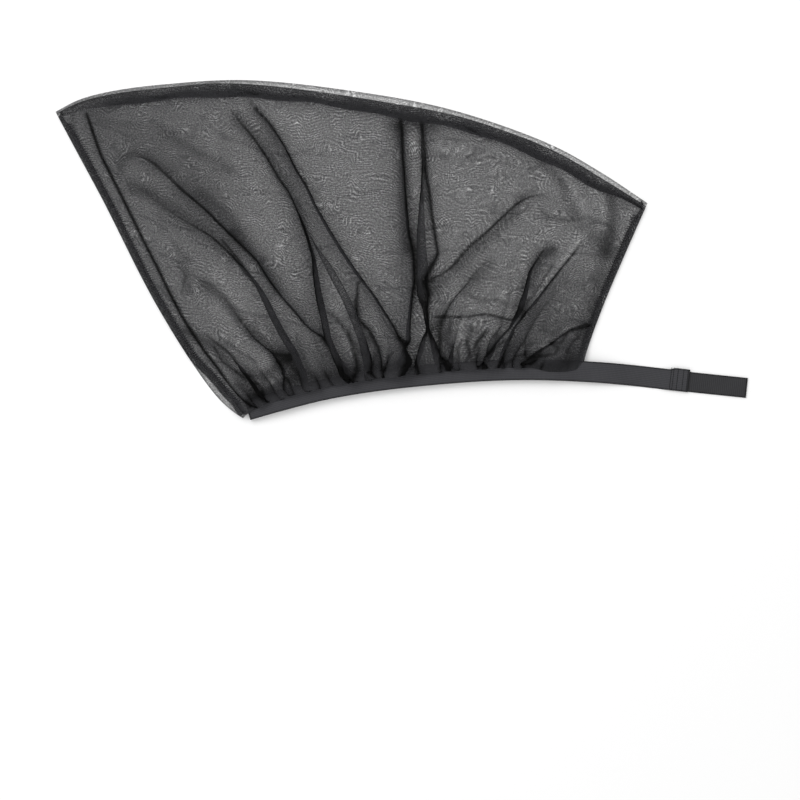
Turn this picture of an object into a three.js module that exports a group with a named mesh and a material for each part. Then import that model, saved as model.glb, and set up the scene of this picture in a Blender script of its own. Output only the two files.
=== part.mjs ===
import * as THREE from 'three';
import { mergeVertices } from 'three/addons/utils/BufferGeometryUtils.js';

// Car side window sunshade: a sock of black stretch mesh that is pulled down over the window frame
// of an open door. Two mesh panels are seamed together along the top and both sides. The lower edge
// stays open as a mouth, and each panel is gathered there onto an elastic band. The front band runs
// on past the corner as a strap, whose hook tape closes on a loop tape on the rear band.
// The shade lies flat. Lengths are millimetres, +X runs towards the strap, +Y towards the top edge
// and +Z up from the surface that it lies on.

// Overall sizes of the mesh
const SHADE_WIDTH = 740;
const SHADE_HEIGHT = 425;
const MESH_THICKNESS = 0.6;
// The front panel stops short of the rolled top edge, where a strip of the rear panel peeks out.
const PEEK = 8;

// Seams turned inwards between the two panels
const SEAM_THICKNESS = 2;
const TOP_SEAM_WIDTH = 17;
const SIDE_SEAM_WIDTH = 9;
const SIDE_SEAM_FROM_TOP = 31;
const SEAM_END_INSET = 4;
const SEAM_TAPER = 90;
const SEAM_TIP_SHARE = 0.4;

// Elastic bands and the strap. The mesh's lower left corner stands past the front band's cut end.
const BAND_WIDTH = 26;
const BAND_THICKNESS = 1;
const STRAP_LENGTH = 552;
const MOUTH_WIDTH = 427;
const CORNER_OVERHANG = 8;
const BAND_SHOWN = 15;
const BAND_SHOWN_AT_CORNER = 5;
const BAND_CORNER_FADE = 18;
const STRAP_DROP = 80;

// Hook tape on the strap's end and loop tape on the rear band
const HOOK_LENGTH = 98;
const HOOK_THICKNESS = 1.4;
const HOOK_LAP = 25;
const LAP_RAMP = 12;
const LOOP_LENGTH = 70;
const LOOP_WIDTH = 20;
const LOOP_THICKNESS = 1.2;
const LOOP_FROM_CORNER = 30;

// Heights of the sock as it lies
const GAP = 0.3;
const POCKET_HEIGHT = 8;
const MOUTH_HEIGHT = 4.8;
const RIM_WIDTH = 34;
const MARGIN_FLAT = 14;
const MARGIN_FADE = 34;
const CORNER_FADE = 24;

// Gathers where the front panel is sewn to its band
const GATHERS = 30;
const COLUMNS_PER_GATHER = 4;
const GATHER_HEIGHT = 5.2;
const GATHER_REACH = 34;
const GOLDEN_ANGLE = 2.39996;

// Grids: rows crowd towards the mouth, and a strip has one step for each length of its own.
const FRONT_ROWS = 16;
const ROW_CROWDING = 1.5;
const REAR_COLUMNS = 30;
const REAR_ROWS = 9;
const STRIP_STEP = 9;
const SEAM_STEP = 18;

const fabricColor = 0x3a3a3c;
const elasticColor = 0x424244;
const tapeColor = 0x3b3b3d;

const smooth = (t) => THREE.MathUtils.smoothstep(t, 0, 1);

// Outlines, as shares of SHADE_WIDTH and SHADE_HEIGHT from the lower left
const atShare = ([x, y]) => new THREE.Vector3(x * SHADE_WIDTH, y * SHADE_HEIGHT, 0);
const through = (points) => new THREE.CatmullRomCurve3(points, false, 'centripetal');

// Outer edge of the bands, from the mesh's lower left corner to a point past the strap's end
const bandLine = through(
  [
    [0.319, -0.005], [0.379, 0.025], [0.464, 0.062], [0.582, 0.093],
    [0.768, 0.117], [0.92, 0.109], [1.089, 0.078], [1.3, 0.04],
  ].map(atShare),
);
const bandLineLength = bandLine.getLength();

// Point at a distance along the band and a distance inwards from its outer edge.
function onBand(along, inwards, z) {
  const share = THREE.MathUtils.clamp(along / bandLineLength, 0, 1);
  const edge = bandLine.getPointAt(share);
  const tangent = bandLine.getTangentAt(share);
  return new THREE.Vector3(edge.x - tangent.y * inwards, edge.y + tangent.x * inwards, z);
}

// Width of band that shows below the mesh, which narrows towards the lower left corner.
function bandShown(along) {
  const cornerShare = Math.exp(-along / BAND_CORNER_FADE);
  return THREE.MathUtils.lerp(BAND_SHOWN, BAND_SHOWN_AT_CORNER, cornerShare);
}
const lowerEdge = (u) => onBand(u * MOUTH_WIDTH, bandShown(u * MOUTH_WIDTH), 0);

const leftTip = atShare([0, 0.907]);
const rightTip = atShare([1, 0.638]);
const topPoints = [
  [0.041, 0.943], [0.1, 0.969], [0.193, 0.989], [0.32, 1],
  [0.4975, 0.969], [0.666, 0.914], [0.835, 0.8115], [0.92, 0.73],
].map(atShare);
const leftPoints = [
  [0.308, 0.015], [0.278, 0.059], [0.239, 0.147], [0.166, 0.353], [0.08, 0.647], [0.0346, 0.794],
].map(atShare);
const rightPoints = [[0.894, 0.182], [0.9036, 0.235], [0.929, 0.353], [0.965, 0.5]].map(atShare);
const topLine = through([leftTip, ...topPoints, rightTip]);
const leftLine = through([lowerEdge(0), ...leftPoints, leftTip]);
const rightLine = through([lowerEdge(1), ...rightPoints, rightTip]);

// Point of the sheet at shares u from left to right and v from the mouth to the top edge, as a
// Coons patch between the four outlines.
function onSheet(u, v) {
  const corners = lowerEdge(0).multiplyScalar((1 - u) * (1 - v))
    .addScaledVector(lowerEdge(1), u * (1 - v))
    .addScaledVector(leftTip, (1 - u) * v)
    .addScaledVector(rightTip, u * v);
  return lowerEdge(u).multiplyScalar(1 - v)
    .addScaledVector(topLine.getPointAt(u), v)
    .addScaledVector(leftLine.getPointAt(v), 1 - u)
    .addScaledVector(rightLine.getPointAt(v), u)
    .sub(corners);
}

// Lengths of the sheet up a column and across a row, which turn shares into millimetres.
const columnLength = (u) => lowerEdge(u).distanceTo(topLine.getPointAt(u));
const rowWidth = (v) => leftLine.getPointAt(v).distanceTo(rightLine.getPointAt(v));

// Seams narrow towards the two tips of the top edge.
function topSeamWidth(u) {
  const fromTip = Math.min(u, 1 - u) * topLine.getLength();
  return TOP_SEAM_WIDTH * THREE.MathUtils.lerp(SEAM_TIP_SHARE, 1, smooth(fromTip / SEAM_TAPER));
}

// The margins at the mouth are lifted over the loop tape, and sink to the surface further in.
const marginShare = (fromMouth) => 1 - smooth((fromMouth - MARGIN_FLAT) / MARGIN_FADE);
const marginLift = LOOP_THICKNESS + GAP;
const rearBottom = (u, v) => marginLift * marginShare(v * columnLength(u));
const rearTop = (u, v) => rearBottom(u, v) + MESH_THICKNESS;
const rearBandBottom = marginLift + MESH_THICKNESS + GAP;
const rearBandTop = rearBandBottom + BAND_THICKNESS;

// A side seam runs down between the two bands. bandShare is 1 where it lies on the rear band and
// under the front one, and falls to 0 above them.
const bandLift = BAND_THICKNESS + GAP;
function bandShare(u, v) {
  const hidden = BAND_WIDTH - bandShown(u * MOUTH_WIDTH);
  return 1 - smooth((v * columnLength(u) - hidden) / CORNER_FADE);
}
const seamBottom = (u, v) => rearTop(u, v) + GAP + bandLift * bandShare(u, v);

// Underside of the front panel before its folds: down on the seams at the rim, and clear of the
// rear panel over the pocket and the mouth.
function frontBottom(u, v) {
  const margin = marginShare(v * columnLength(u));
  const rim = seamBottom(u, v) + SEAM_THICKNESS + GAP + bandLift * bandShare(u, v);
  const pocket = MESH_THICKNESS + POCKET_HEIGHT;
  const mouth = rearBandTop + MOUTH_HEIGHT + bandLift;
  const open = THREE.MathUtils.lerp(pocket, mouth, margin);
  const fromTop = (1 - v) * columnLength(u) - PEEK - topSeamWidth(u);
  const fromLeft = u * rowWidth(v) - SIDE_SEAM_WIDTH;
  const fromRight = (1 - u) * rowWidth(v) - SIDE_SEAM_WIDTH;
  const inside = smooth(fromTop / RIM_WIDTH) * smooth(fromLeft / RIM_WIDTH) * smooth(fromRight / RIM_WIDTH);
  return THREE.MathUtils.lerp(rim, open, inside);
}

// Folds run up from the gathers. path gives the crest's share across the sheet at the mouth, at a
// third, at two thirds and at the top edge. reach is the share of the height where the fold ends.
// The grid's columns fan out along the long folds: fan is the share of columns left of the crest.
const FOLDS = [
  { name: 'left seam crease', path: [0.026, 0.033, 0.034, 0.042], width: 4, height: 1.2, reach: 0.97, fan: 0.04 },
  { name: 'left corner fold', path: [0.075, 0.05, -0.06, -0.2], width: 6, height: 3.5, reach: 0.3 },
  { name: 'left slanting fold', path: [0.255, 0.236, 0.128, 0.07], width: 12, height: 5, reach: 0.8, fan: 0.25 },
  { name: 'left centre fold', path: [0.305, 0.335, 0.326, 0.25], width: 7, height: 6, reach: 0.9, fan: 0.35 },
  { name: 'flat pleat', path: [0.385, 0.38, 0.346, 0.285], width: 8, height: 5, reach: 0.62 },
  { name: 'short centre fold', path: [0.42, 0.436, 0.48, 0.5], width: 6, height: 4, reach: 0.38 },
  { name: 'long fold', path: [0.505, 0.462, 0.371, 0.315], width: 7, height: 6, reach: 0.97, fan: 0.46 },
  { name: 'upright fold', path: [0.575, 0.579, 0.583, 0.577], width: 15, height: 6.5, reach: 0.93, fan: 0.58 },
  { name: 'right slanting fold', path: [0.61, 0.668, 0.762, 0.85], width: 7, height: 4.5, reach: 0.76, fan: 0.72 },
  { name: 'right corner fold', path: [0.7, 0.832, 0.913, 0.95], width: 10, height: 5.5, reach: 0.68, fan: 0.86 },
  { name: 'right hem fold', path: [0.8, 1.02, 1.2, 1.3], width: 8, height: 3.5, reach: 0.34 },
];
const FOLD_RUN_OUT = 0.3;
const FOLD_NARROWING = 0.35;

// Share across the sheet of a path at height v, by a cubic through its four stations.
function pathAt([a, b, c, d], v) {
  const t = 3 * v;
  return a * (1 - t) * (2 - t) * (3 - t) / 6 + b * t * (2 - t) * (3 - t) / 2
    - c * t * (1 - t) * (3 - t) / 2 + d * t * (1 - t) * (2 - t) / 6;
}

// A ridge with a rounded crest and steep flanks.
const ridge = (distance, halfWidth) => 1 / (1 + (distance / halfWidth) ** 4);

function foldHeight(u, v) {
  return FOLDS.reduce((sum, fold) => {
    const distance = (u - pathAt(fold.path, v)) * rowWidth(v);
    const strength = 1 - smooth((v - fold.reach + FOLD_RUN_OUT) / FOLD_RUN_OUT);
    return sum + fold.height * strength * ridge(distance, fold.width * (1 - FOLD_NARROWING * v));
  }, 0);
}

// Share across the sheet of a grid column at height v, between the folds that lead the columns.
const fanFolds = FOLDS.filter((fold) => fold.fan !== undefined);
function fanShare(column, v) {
  const from = [0, ...fanFolds.map((fold) => fold.fan), 1];
  const to = [0, ...fanFolds.map((fold) => pathAt(fold.path, v)), 1];
  const next = Math.max(1, from.findIndex((share) => share >= column));
  return THREE.MathUtils.mapLinear(column, from[next - 1], from[next], to[next - 1], to[next]);
}

// Gathers crowd along the mouth. Each has its own height and dies out at its own distance.
function gatherHeight(column, u, v) {
  const index = Math.floor(column * GATHERS);
  const uneven = 0.5 + 0.5 * Math.sin(index * GOLDEN_ANGLE);
  const reach = GATHER_REACH * (0.55 + 0.9 * uneven);
  const ends = smooth(Math.min(column, 1 - column) * GATHERS);
  const crest = Math.sin(Math.PI * column * GATHERS) ** 2;
  return GATHER_HEIGHT * (0.6 + 0.4 * uneven) * crest * ends * Math.exp(-v * columnLength(u) / reach);
}

// A closed solid: a unit box of columns by rows, bent by place(across, up, side), with side 0
// below and 1 above.
function bentBox(columns, rows, place) {
  const box = new THREE.BoxGeometry(1, 1, 1, columns, rows, 1);
  box.deleteAttribute('normal');
  box.deleteAttribute('uv');
  const bent = mergeVertices(box);
  const points = bent.attributes.position;
  for (let i = 0; i < points.count; i++) {
    const at = place(points.getX(i) + 0.5, points.getY(i) + 0.5, points.getZ(i) + 0.5);
    points.setXYZ(i, at.x, at.y, at.z);
  }
  bent.computeVertexNormals();
  return bent;
}

function piece(name, geometry, color, roughness) {
  const mesh = new THREE.Mesh(geometry, new THREE.MeshStandardMaterial({ color, roughness, metalness: 0 }));
  mesh.name = name;
  return mesh;
}

// Mesh panels
function frontPanel() {
  return bentBox(GATHERS * COLUMNS_PER_GATHER, FRONT_ROWS, (column, row, side) => {
    const height = row ** ROW_CROWDING;
    const u = fanShare(column, height);
    const v = height * (1 - PEEK / columnLength(u));
    const point = onSheet(u, v);
    point.z = frontBottom(u, v) + foldHeight(u, v) + gatherHeight(column, u, v) + side * MESH_THICKNESS;
    return point;
  });
}

function rearPanel() {
  return bentBox(REAR_COLUMNS, REAR_ROWS, (u, row, side) => {
    const v = row ** ROW_CROWDING;
    const point = onSheet(u, v);
    point.z = rearBottom(u, v) + side * MESH_THICKNESS;
    return point;
  });
}

// Seam allowances, which lie on the rear panel and under the front panel's rim
function topSeam() {
  const length = topLine.getLength();
  const inset = SEAM_END_INSET / length;
  return bentBox(Math.ceil(length / SEAM_STEP), 1, (across, up, side) => {
    const u = THREE.MathUtils.lerp(inset, 1 - inset, across);
    const fromEdge = PEEK + (1 - up) * topSeamWidth(u);
    const v = 1 - fromEdge / columnLength(u);
    const point = onSheet(u, v);
    point.z = rearTop(u, v) + GAP + side * SEAM_THICKNESS;
    return point;
  });
}

function sideSeam(isLeft) {
  const length = columnLength(isLeft ? 0 : 1);
  return bentBox(1, Math.ceil(length / SEAM_STEP), (across, up, side) => {
    const v = THREE.MathUtils.lerp(SEAM_END_INSET, length - SIDE_SEAM_FROM_TOP, up ** ROW_CROWDING) / length;
    const share = SIDE_SEAM_WIDTH / rowWidth(v);
    const u = isLeft ? across * share : 1 - (1 - across) * share;
    const point = onSheet(u, v);
    point.z = seamBottom(u, v) + side * SEAM_THICKNESS;
    return point;
  });
}

// The front band is sewn under the front panel's margin. Past the corner it is the strap, which
// drops to the surface and ends on top of the hook tape.
const strapEnd = CORNER_OVERHANG + STRAP_LENGTH;
const hookStart = strapEnd - HOOK_LAP;
function frontBandBottom(along) {
  const u = Math.min(along / MOUTH_WIDTH, 1);
  const sewn = frontBottom(u, 0) - GAP - BAND_THICKNESS;
  const dropped = sewn * (1 - smooth((along - MOUTH_WIDTH) / STRAP_DROP));
  const lap = (HOOK_THICKNESS + GAP) * smooth((along - hookStart + LAP_RAMP) / LAP_RAMP);
  return Math.max(dropped, lap);
}

// A strip of band or tape from start to end along the bands' outer edge.
function stripAlong(start, end, bottomAt, thickness, inset = 0) {
  const width = BAND_WIDTH - 2 * inset;
  return bentBox(Math.ceil((end - start) / STRIP_STEP), 1, (across, up, side) => {
    const along = THREE.MathUtils.lerp(start, end, across);
    return onBand(along, inset + up * width, bottomAt(along) + side * thickness);
  });
}

const strap = stripAlong(CORNER_OVERHANG, strapEnd, frontBandBottom, BAND_THICKNESS);
const rearBand = stripAlong(CORNER_OVERHANG, MOUTH_WIDTH, () => rearBandBottom, BAND_THICKNESS);
const hookTape = stripAlong(hookStart, hookStart + HOOK_LENGTH, () => 0, HOOK_THICKNESS);
const loopEnd = MOUTH_WIDTH - LOOP_FROM_CORNER;
const loopTape = stripAlong(loopEnd - LOOP_LENGTH, loopEnd, () => 0, LOOP_THICKNESS, (BAND_WIDTH - LOOP_WIDTH) / 2);

const sunshade = new THREE.Group();
const panels = new THREE.Group();
panels.add(piece('front_mesh_panel', frontPanel(), fabricColor, 0.9));
panels.add(piece('rear_mesh_panel', rearPanel(), fabricColor, 0.9));
const seams = new THREE.Group();
seams.add(piece('top_seam', topSeam(), fabricColor, 0.9));
seams.add(piece('left_side_seam', sideSeam(true), fabricColor, 0.9));
seams.add(piece('right_side_seam', sideSeam(false), fabricColor, 0.9));
const elastics = new THREE.Group();
elastics.add(piece('front_band_and_strap', strap, elasticColor, 0.8));
elastics.add(piece('rear_elastic_band', rearBand, elasticColor, 0.8));
const closure = new THREE.Group();
closure.add(piece('hook_tape', hookTape, tapeColor, 0.75));
closure.add(piece('loop_tape', loopTape, tapeColor, 0.95));
sunshade.add(panels, seams, elastics, closure);

// The origin is on the surface, under the middle of the shade with its strap.
const middle = new THREE.Box3().setFromObject(sunshade).getCenter(new THREE.Vector3());
sunshade.position.set(-middle.x, -middle.y, 0);
sunshade.updateMatrixWorld(true);

export default sunshade;
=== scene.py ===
"""Looks of a car side window sunshade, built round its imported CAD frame.

The shade is a sock of black stretch mesh that lies flat: two sheer panels, hems turned inwards
between them, two elastic bands at the open mouth, a strap, and a hook and loop closure.
"""
import logging
import math
from dataclasses import dataclass
from enum import Enum
from typing import Callable, Optional, Sequence

import bmesh
import bpy
import numpy as np
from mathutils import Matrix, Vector


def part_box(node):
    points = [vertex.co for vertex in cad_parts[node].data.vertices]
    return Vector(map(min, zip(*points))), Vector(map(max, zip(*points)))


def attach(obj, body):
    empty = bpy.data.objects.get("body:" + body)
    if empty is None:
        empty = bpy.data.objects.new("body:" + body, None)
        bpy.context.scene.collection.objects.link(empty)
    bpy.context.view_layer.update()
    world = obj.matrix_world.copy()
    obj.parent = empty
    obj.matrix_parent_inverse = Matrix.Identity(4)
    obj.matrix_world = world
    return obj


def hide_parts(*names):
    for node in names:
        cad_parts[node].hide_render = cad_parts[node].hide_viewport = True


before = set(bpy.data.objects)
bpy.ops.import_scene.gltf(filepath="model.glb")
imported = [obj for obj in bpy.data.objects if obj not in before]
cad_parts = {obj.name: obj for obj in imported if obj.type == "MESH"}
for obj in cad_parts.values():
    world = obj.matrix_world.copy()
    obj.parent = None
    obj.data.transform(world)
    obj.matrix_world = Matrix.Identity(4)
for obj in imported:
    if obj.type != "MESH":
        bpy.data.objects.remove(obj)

LOG = logging.getLogger("sunshade")
MM = 0.001
BODY = "root"
CLOTH_UV = "cloth"
# Blender's wave texture of scale 1 repeats after this many units.
WAVE_REPEAT = 0.314

# The photograph: the scale that the strap's standard width gives, and the pixel that the shares of
# the width and height are measured from.
MM_PER_PIXEL = 1.25
PHOTO_LEFT = 55.5
PHOTO_BOTTOM = 420.0

Points = Sequence[tuple[float, float]]


def smooth(share: np.ndarray) -> np.ndarray:
    """Returns the smooth step of a share, held between 0 and 1."""
    held = np.clip(share, 0.0, 1.0)
    return held * held * (3.0 - 2.0 * held)


def mixed(low: np.ndarray, high: np.ndarray, share: np.ndarray) -> np.ndarray:
    """Returns the value a share of the way from low to high."""
    return low + (high - low) * share


def bell(distance: np.ndarray, half_width: np.ndarray) -> np.ndarray:
    """Returns a bell of height 1 that falls off over half_width."""
    return np.exp(-((distance / half_width) ** 2))


def linear(hex_color: str, alpha: float = 1.0) -> tuple[float, float, float, float]:
    """Turns an sRGB hex colour into linear values.

    Args:
        hex_color: Six hexadecimal digits after a hash sign.
        alpha: The fourth value.

    Returns:
        Linear red, green, blue and alpha.
    """
    def channel(start: int) -> float:
        """Returns one linear channel."""
        value = int(hex_color[start:start + 2], 16) / 255
        return value / 12.92 if value <= 0.04045 else ((value + 0.055) / 1.055) ** 2.4
    return channel(1), channel(3), channel(5), alpha


def add_node(
    tree: bpy.types.NodeTree,
    kind: str,
    settings: Optional[dict] = None,
    inputs: Optional[dict] = None,
) -> bpy.types.Node:
    """Adds a node with its settings, and fills its inputs with values or links.

    Args:
        tree: The node tree.
        kind: Blender's identifier of the node.
        settings: Properties of the node.
        inputs: Values, output sockets or nodes (their first output) by input name or index.

    Returns:
        The new node.
    """
    node = tree.nodes.new(kind)
    for key, value in (settings or {}).items():
        setattr(node, key, value)
    for socket, value in (inputs or {}).items():
        if isinstance(value, bpy.types.Node):
            value = value.outputs[0]
        if isinstance(value, bpy.types.NodeSocket):
            tree.links.new(value, node.inputs[socket])
        else:
            node.inputs[socket].default_value = value
    return node


def blank_material(name: str) -> tuple[bpy.types.Material, bpy.types.NodeTree]:
    """Makes a material without nodes.

    Args:
        name: The material's name.

    Returns:
        The material and its empty node tree.
    """
    made = bpy.data.materials.new(name)
    made.use_nodes = True
    made.node_tree.nodes.clear()
    return made, made.node_tree


def linked(name: str, data: bpy.types.ID) -> bpy.types.Object:
    """Makes an object at the origin and links it to the scene.

    Args:
        name: The object's name.
        data: What it shows: a mesh, a lamp or a camera.

    Returns:
        The object.
    """
    made = bpy.data.objects.new(name, data)
    bpy.context.scene.collection.objects.link(made)
    return made


def lay_cloth(mesh: bpy.types.Mesh, flat: np.ndarray) -> None:
    """Gives a mesh its UV map.

    Args:
        mesh: The mesh.
        flat: The vertices' places on flat cloth, in metres.
    """
    corners = np.empty(len(mesh.loops), dtype=np.int32)
    mesh.loops.foreach_get("vertex_index", corners)
    mesh.uv_layers.new(name=CLOTH_UV).data.foreach_set("uv", flat[corners].ravel())


# How far the rear panel peeks out along the top edge: share across, and width in mm.
PEEK = (
    (0.0, 2.6), (0.05, 3.4), (0.16, 4.6), (0.25, 3.6), (0.37, 6.4), (0.46, 7.4), (0.56, 8.0),
    (0.67, 5.6), (0.78, 5.4), (0.92, 6.2), (1.0, 4.0),
)


# Outlines and heights of the shade, as its CAD source has them


class Curve:
    """A smooth line through points, read by its share of length."""

    SAMPLES_PER_SPAN = 200

    def __init__(self, points: np.ndarray) -> None:
        """Samples the line, a centripetal spline, and measures it.

        Args:
            points: Rows of x and y.
        """
        first = 2 * points[0] - points[1]
        last = 2 * points[-1] - points[-2]
        knots = np.vstack([first, points, last])
        spans = [self._span(knots[i:i + 4]) for i in range(len(points) - 1)]
        self.track = np.vstack(spans + [points[-1:]])
        steps = np.linalg.norm(np.diff(self.track, axis=0), axis=1)
        self.reached = np.concatenate([[0.0], np.cumsum(steps)])
        self.length = float(self.reached[-1])

    def _span(self, knots: np.ndarray) -> np.ndarray:
        """Samples the line between two of its points.

        Args:
            knots: Four points in a row, the middle two being the ends.

        Returns:
            Rows of x and y.
        """
        times = np.concatenate([[0.0], np.cumsum(np.linalg.norm(np.diff(knots, axis=0), axis=1) ** 0.5)])
        t = np.linspace(times[1], times[2], self.SAMPLES_PER_SPAN, endpoint=False)[:, None]

        def between(low: np.ndarray, high: np.ndarray, i: int, j: int) -> np.ndarray:
            """Returns the blend of two tracks between two knot times."""
            return (low * (times[j] - t) + high * (t - times[i])) / (times[j] - times[i])
        first = between(knots[0], knots[1], 0, 1)
        middle = between(knots[1], knots[2], 1, 2)
        last = between(knots[2], knots[3], 2, 3)
        return between(between(first, middle, 0, 2), between(middle, last, 1, 3), 1, 2)

    def at(self, share: np.ndarray) -> np.ndarray:
        """Returns points at shares of the length."""
        reach = np.clip(share, 0.0, 1.0) * self.length
        return np.stack([np.interp(reach, self.reached, self.track[:, i]) for i in (0, 1)], -1)

    def normal(self, share: np.ndarray) -> np.ndarray:
        """Finds the directions to the left of the line.

        Args:
            share: Shares of the length.

        Returns:
            Rows of unit vectors.
        """
        step = 0.002
        ahead = self.at(np.minimum(share + step, 1.0)) - self.at(np.maximum(share - step, 0.0))
        unit = ahead / np.linalg.norm(ahead, axis=-1, keepdims=True)
        return np.stack([-unit[..., 1], unit[..., 0]], -1)


@dataclass
class ShadePlan:
    """Outlines and lie of the shade, in metres from the lower left corner of its mesh."""

    FINE_NET = (500, 300)

    width: float = 740 * MM
    height: float = 425 * MM
    mesh_thickness: float = 0.6 * MM
    peek: float = 8 * MM
    seam_thickness: float = 2 * MM
    top_seam_width: float = 17 * MM
    side_seam_width: float = 9 * MM
    seam_end_inset: float = 4 * MM
    seam_taper: float = 90 * MM
    seam_tip_share: float = 0.4
    band_width: float = 26 * MM
    band_thickness: float = 1 * MM
    strap_length: float = 552 * MM
    mouth_width: float = 427 * MM
    corner_overhang: float = 8 * MM
    band_shown_most: float = 15 * MM
    band_shown_at_corner: float = 5 * MM
    band_corner_fade: float = 18 * MM
    strap_drop: float = 80 * MM
    hook_length: float = 98 * MM
    hook_thickness: float = 1.4 * MM
    hook_lap: float = 25 * MM
    lap_ramp: float = 12 * MM
    loop_length: float = 70 * MM
    loop_width: float = 20 * MM
    loop_thickness: float = 1.2 * MM
    loop_from_corner: float = 30 * MM
    gap: float = 0.3 * MM
    pocket_height: float = 8 * MM
    mouth_height: float = 4.8 * MM
    rim_width: float = 34 * MM
    margin_flat: float = 14 * MM
    margin_fade: float = 34 * MM
    corner_fade: float = 24 * MM
    left_roll: float = 6 * MM
    roll_start: float = 2 * MM
    roll_ramp: float = 25 * MM
    roll_end: float = 55 * MM
    roll_fade: float = 50 * MM

    def __post_init__(self) -> None:
        """Draws the outlines and finds where the frame puts the lower left corner."""
        self.band_line = self._through([
            (0.319, -0.005), (0.379, 0.025), (0.464, 0.062), (0.582, 0.093),
            (0.768, 0.117), (0.92, 0.109), (1.089, 0.078), (1.3, 0.04),
        ])
        left_tip, right_tip = (0.0, 0.907), (1.0, 0.638)
        self.top_line = self._through([
            left_tip, (0.041, 0.943), (0.1, 0.969), (0.193, 0.989), (0.32, 1.0),
            (0.4975, 0.969), (0.666, 0.914), (0.835, 0.8115), (0.92, 0.73), right_tip,
        ])
        corner_left, corner_right = self.lower_edge(np.array([0.0, 1.0]))
        self.left_line = self._through([
            (0.308, 0.015), (0.278, 0.059), (0.239, 0.147), (0.166, 0.353), (0.08, 0.647),
            (0.0346, 0.794), left_tip,
        ], start=corner_left)
        self.right_line = self._through([
            (0.894, 0.182), (0.9036, 0.235), (0.929, 0.353), (0.965, 0.5), right_tip,
        ], start=corner_right)
        self.strap_end = self.corner_overhang + self.strap_length
        self.hook_start = self.strap_end - self.hook_lap
        self.margin_lift = self.loop_thickness + self.gap
        self.rear_band_bottom = self.margin_lift + self.mesh_thickness + self.gap
        self.rear_band_top = self.rear_band_bottom + self.band_thickness
        self.band_lift = self.band_thickness + self.gap
        low, high = (Vector(corner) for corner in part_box("rear_mesh_panel"))
        outline = np.vstack([self.top_line.track, self.left_line.track, self.right_line.track])
        self.origin = np.array([low.x - outline[:, 0].min(), high.y - outline[:, 1].max()])

    def _through(self, shares: Points, start: Optional[np.ndarray] = None) -> Curve:
        """Returns a line through points given as shares of the width and height."""
        points = np.array(shares) * (self.width, self.height)
        return Curve(points if start is None else np.vstack([start, points]))

    def on_band(self, along: np.ndarray, inwards: np.ndarray) -> np.ndarray:
        """Returns points at distances along the bands' outer edge and inwards from it."""
        share = np.clip(along / self.band_line.length, 0.0, 1.0)
        return self.band_line.at(share) + self.band_line.normal(share) * np.asarray(inwards)[..., None]

    def band_shown(self, along: np.ndarray) -> np.ndarray:
        """Returns the width of band that shows below the mesh."""
        corner = np.exp(-along / self.band_corner_fade)
        return mixed(self.band_shown_most, self.band_shown_at_corner, corner)

    def lower_edge(self, u: np.ndarray) -> np.ndarray:
        """Returns points of the mesh's lower edge."""
        along = np.asarray(u) * self.mouth_width
        return self.on_band(along, self.band_shown(along))

    def on_sheet(self, u: np.ndarray, v: np.ndarray) -> np.ndarray:
        """Places points of a panel, a Coons patch between the four outlines.

        Args:
            u: Shares across the sheet.
            v: Shares up the sheet.

        Returns:
            Rows of x and y.
        """
        low, high = self.lower_edge(u), self.top_line.at(u)
        left, right = self.left_line.at(v), self.right_line.at(v)
        corners = self.lower_edge(np.array([0.0, 1.0])), self.top_line.at(np.array([0.0, 1.0]))
        across, up = np.asarray(u)[..., None], np.asarray(v)[..., None]
        bottom = mixed(corners[0][0], corners[0][1], across)
        top = mixed(corners[1][0], corners[1][1], across)
        return mixed(low, high, up) + mixed(left, right, across) - mixed(bottom, top, up)

    def column_length(self, u: np.ndarray) -> np.ndarray:
        """Returns the panel's length up a column."""
        return np.linalg.norm(self.lower_edge(u) - self.top_line.at(u), axis=-1)

    def row_width(self, v: np.ndarray) -> np.ndarray:
        """Returns the panel's width across a row."""
        return np.linalg.norm(self.left_line.at(v) - self.right_line.at(v), axis=-1)

    def top_hem_width(self, u: np.ndarray) -> np.ndarray:
        """Returns the top hem's width, which narrows towards the two tips."""
        from_tip = np.minimum(u, 1 - u) * self.top_line.length
        return self.top_seam_width * mixed(self.seam_tip_share, 1.0, smooth(from_tip / self.seam_taper))

    def peek_at(self, u: np.ndarray) -> np.ndarray:
        """Returns how far the rear panel's rolled edge peeks out, uneven as in the photograph."""
        columns, widths = np.array(PEEK).T
        return np.interp(u, columns, widths) * MM

    def rolled_in(self, v: np.ndarray) -> np.ndarray:
        """Gives how far the front panel and its hem lie inside the rear one.

        Args:
            v: Shares up the sheet.

        Returns:
            Distances inwards, which are above 0 at the lower left only.
        """
        reach = v * float(self.column_length(np.array(0.0)))
        begun = smooth((reach - self.roll_start) / self.roll_ramp)
        return self.left_roll * begun * (1 - smooth((reach - self.roll_end) / self.roll_fade))

    def margin_share(self, from_mouth: np.ndarray) -> np.ndarray:
        """Returns 1 at the mouth's margin, falling to 0 over the pocket."""
        return 1 - smooth((from_mouth - self.margin_flat) / self.margin_fade)

    def rear_bottom(self, u: np.ndarray, v: np.ndarray) -> np.ndarray:
        """Returns the height of the rear panel's underside."""
        return self.margin_lift * self.margin_share(v * self.column_length(u))

    def band_share(self, u: np.ndarray, v: np.ndarray) -> np.ndarray:
        """Returns 1 where a side hem lies between the bands."""
        hidden = self.band_width - self.band_shown(u * self.mouth_width)
        return 1 - smooth((v * self.column_length(u) - hidden) / self.corner_fade)

    def seam_bottom(self, u: np.ndarray, v: np.ndarray) -> np.ndarray:
        """Returns the height of a hem's underside."""
        on_rear = self.rear_bottom(u, v) + self.mesh_thickness + self.gap
        return on_rear + self.band_lift * self.band_share(u, v)

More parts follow.
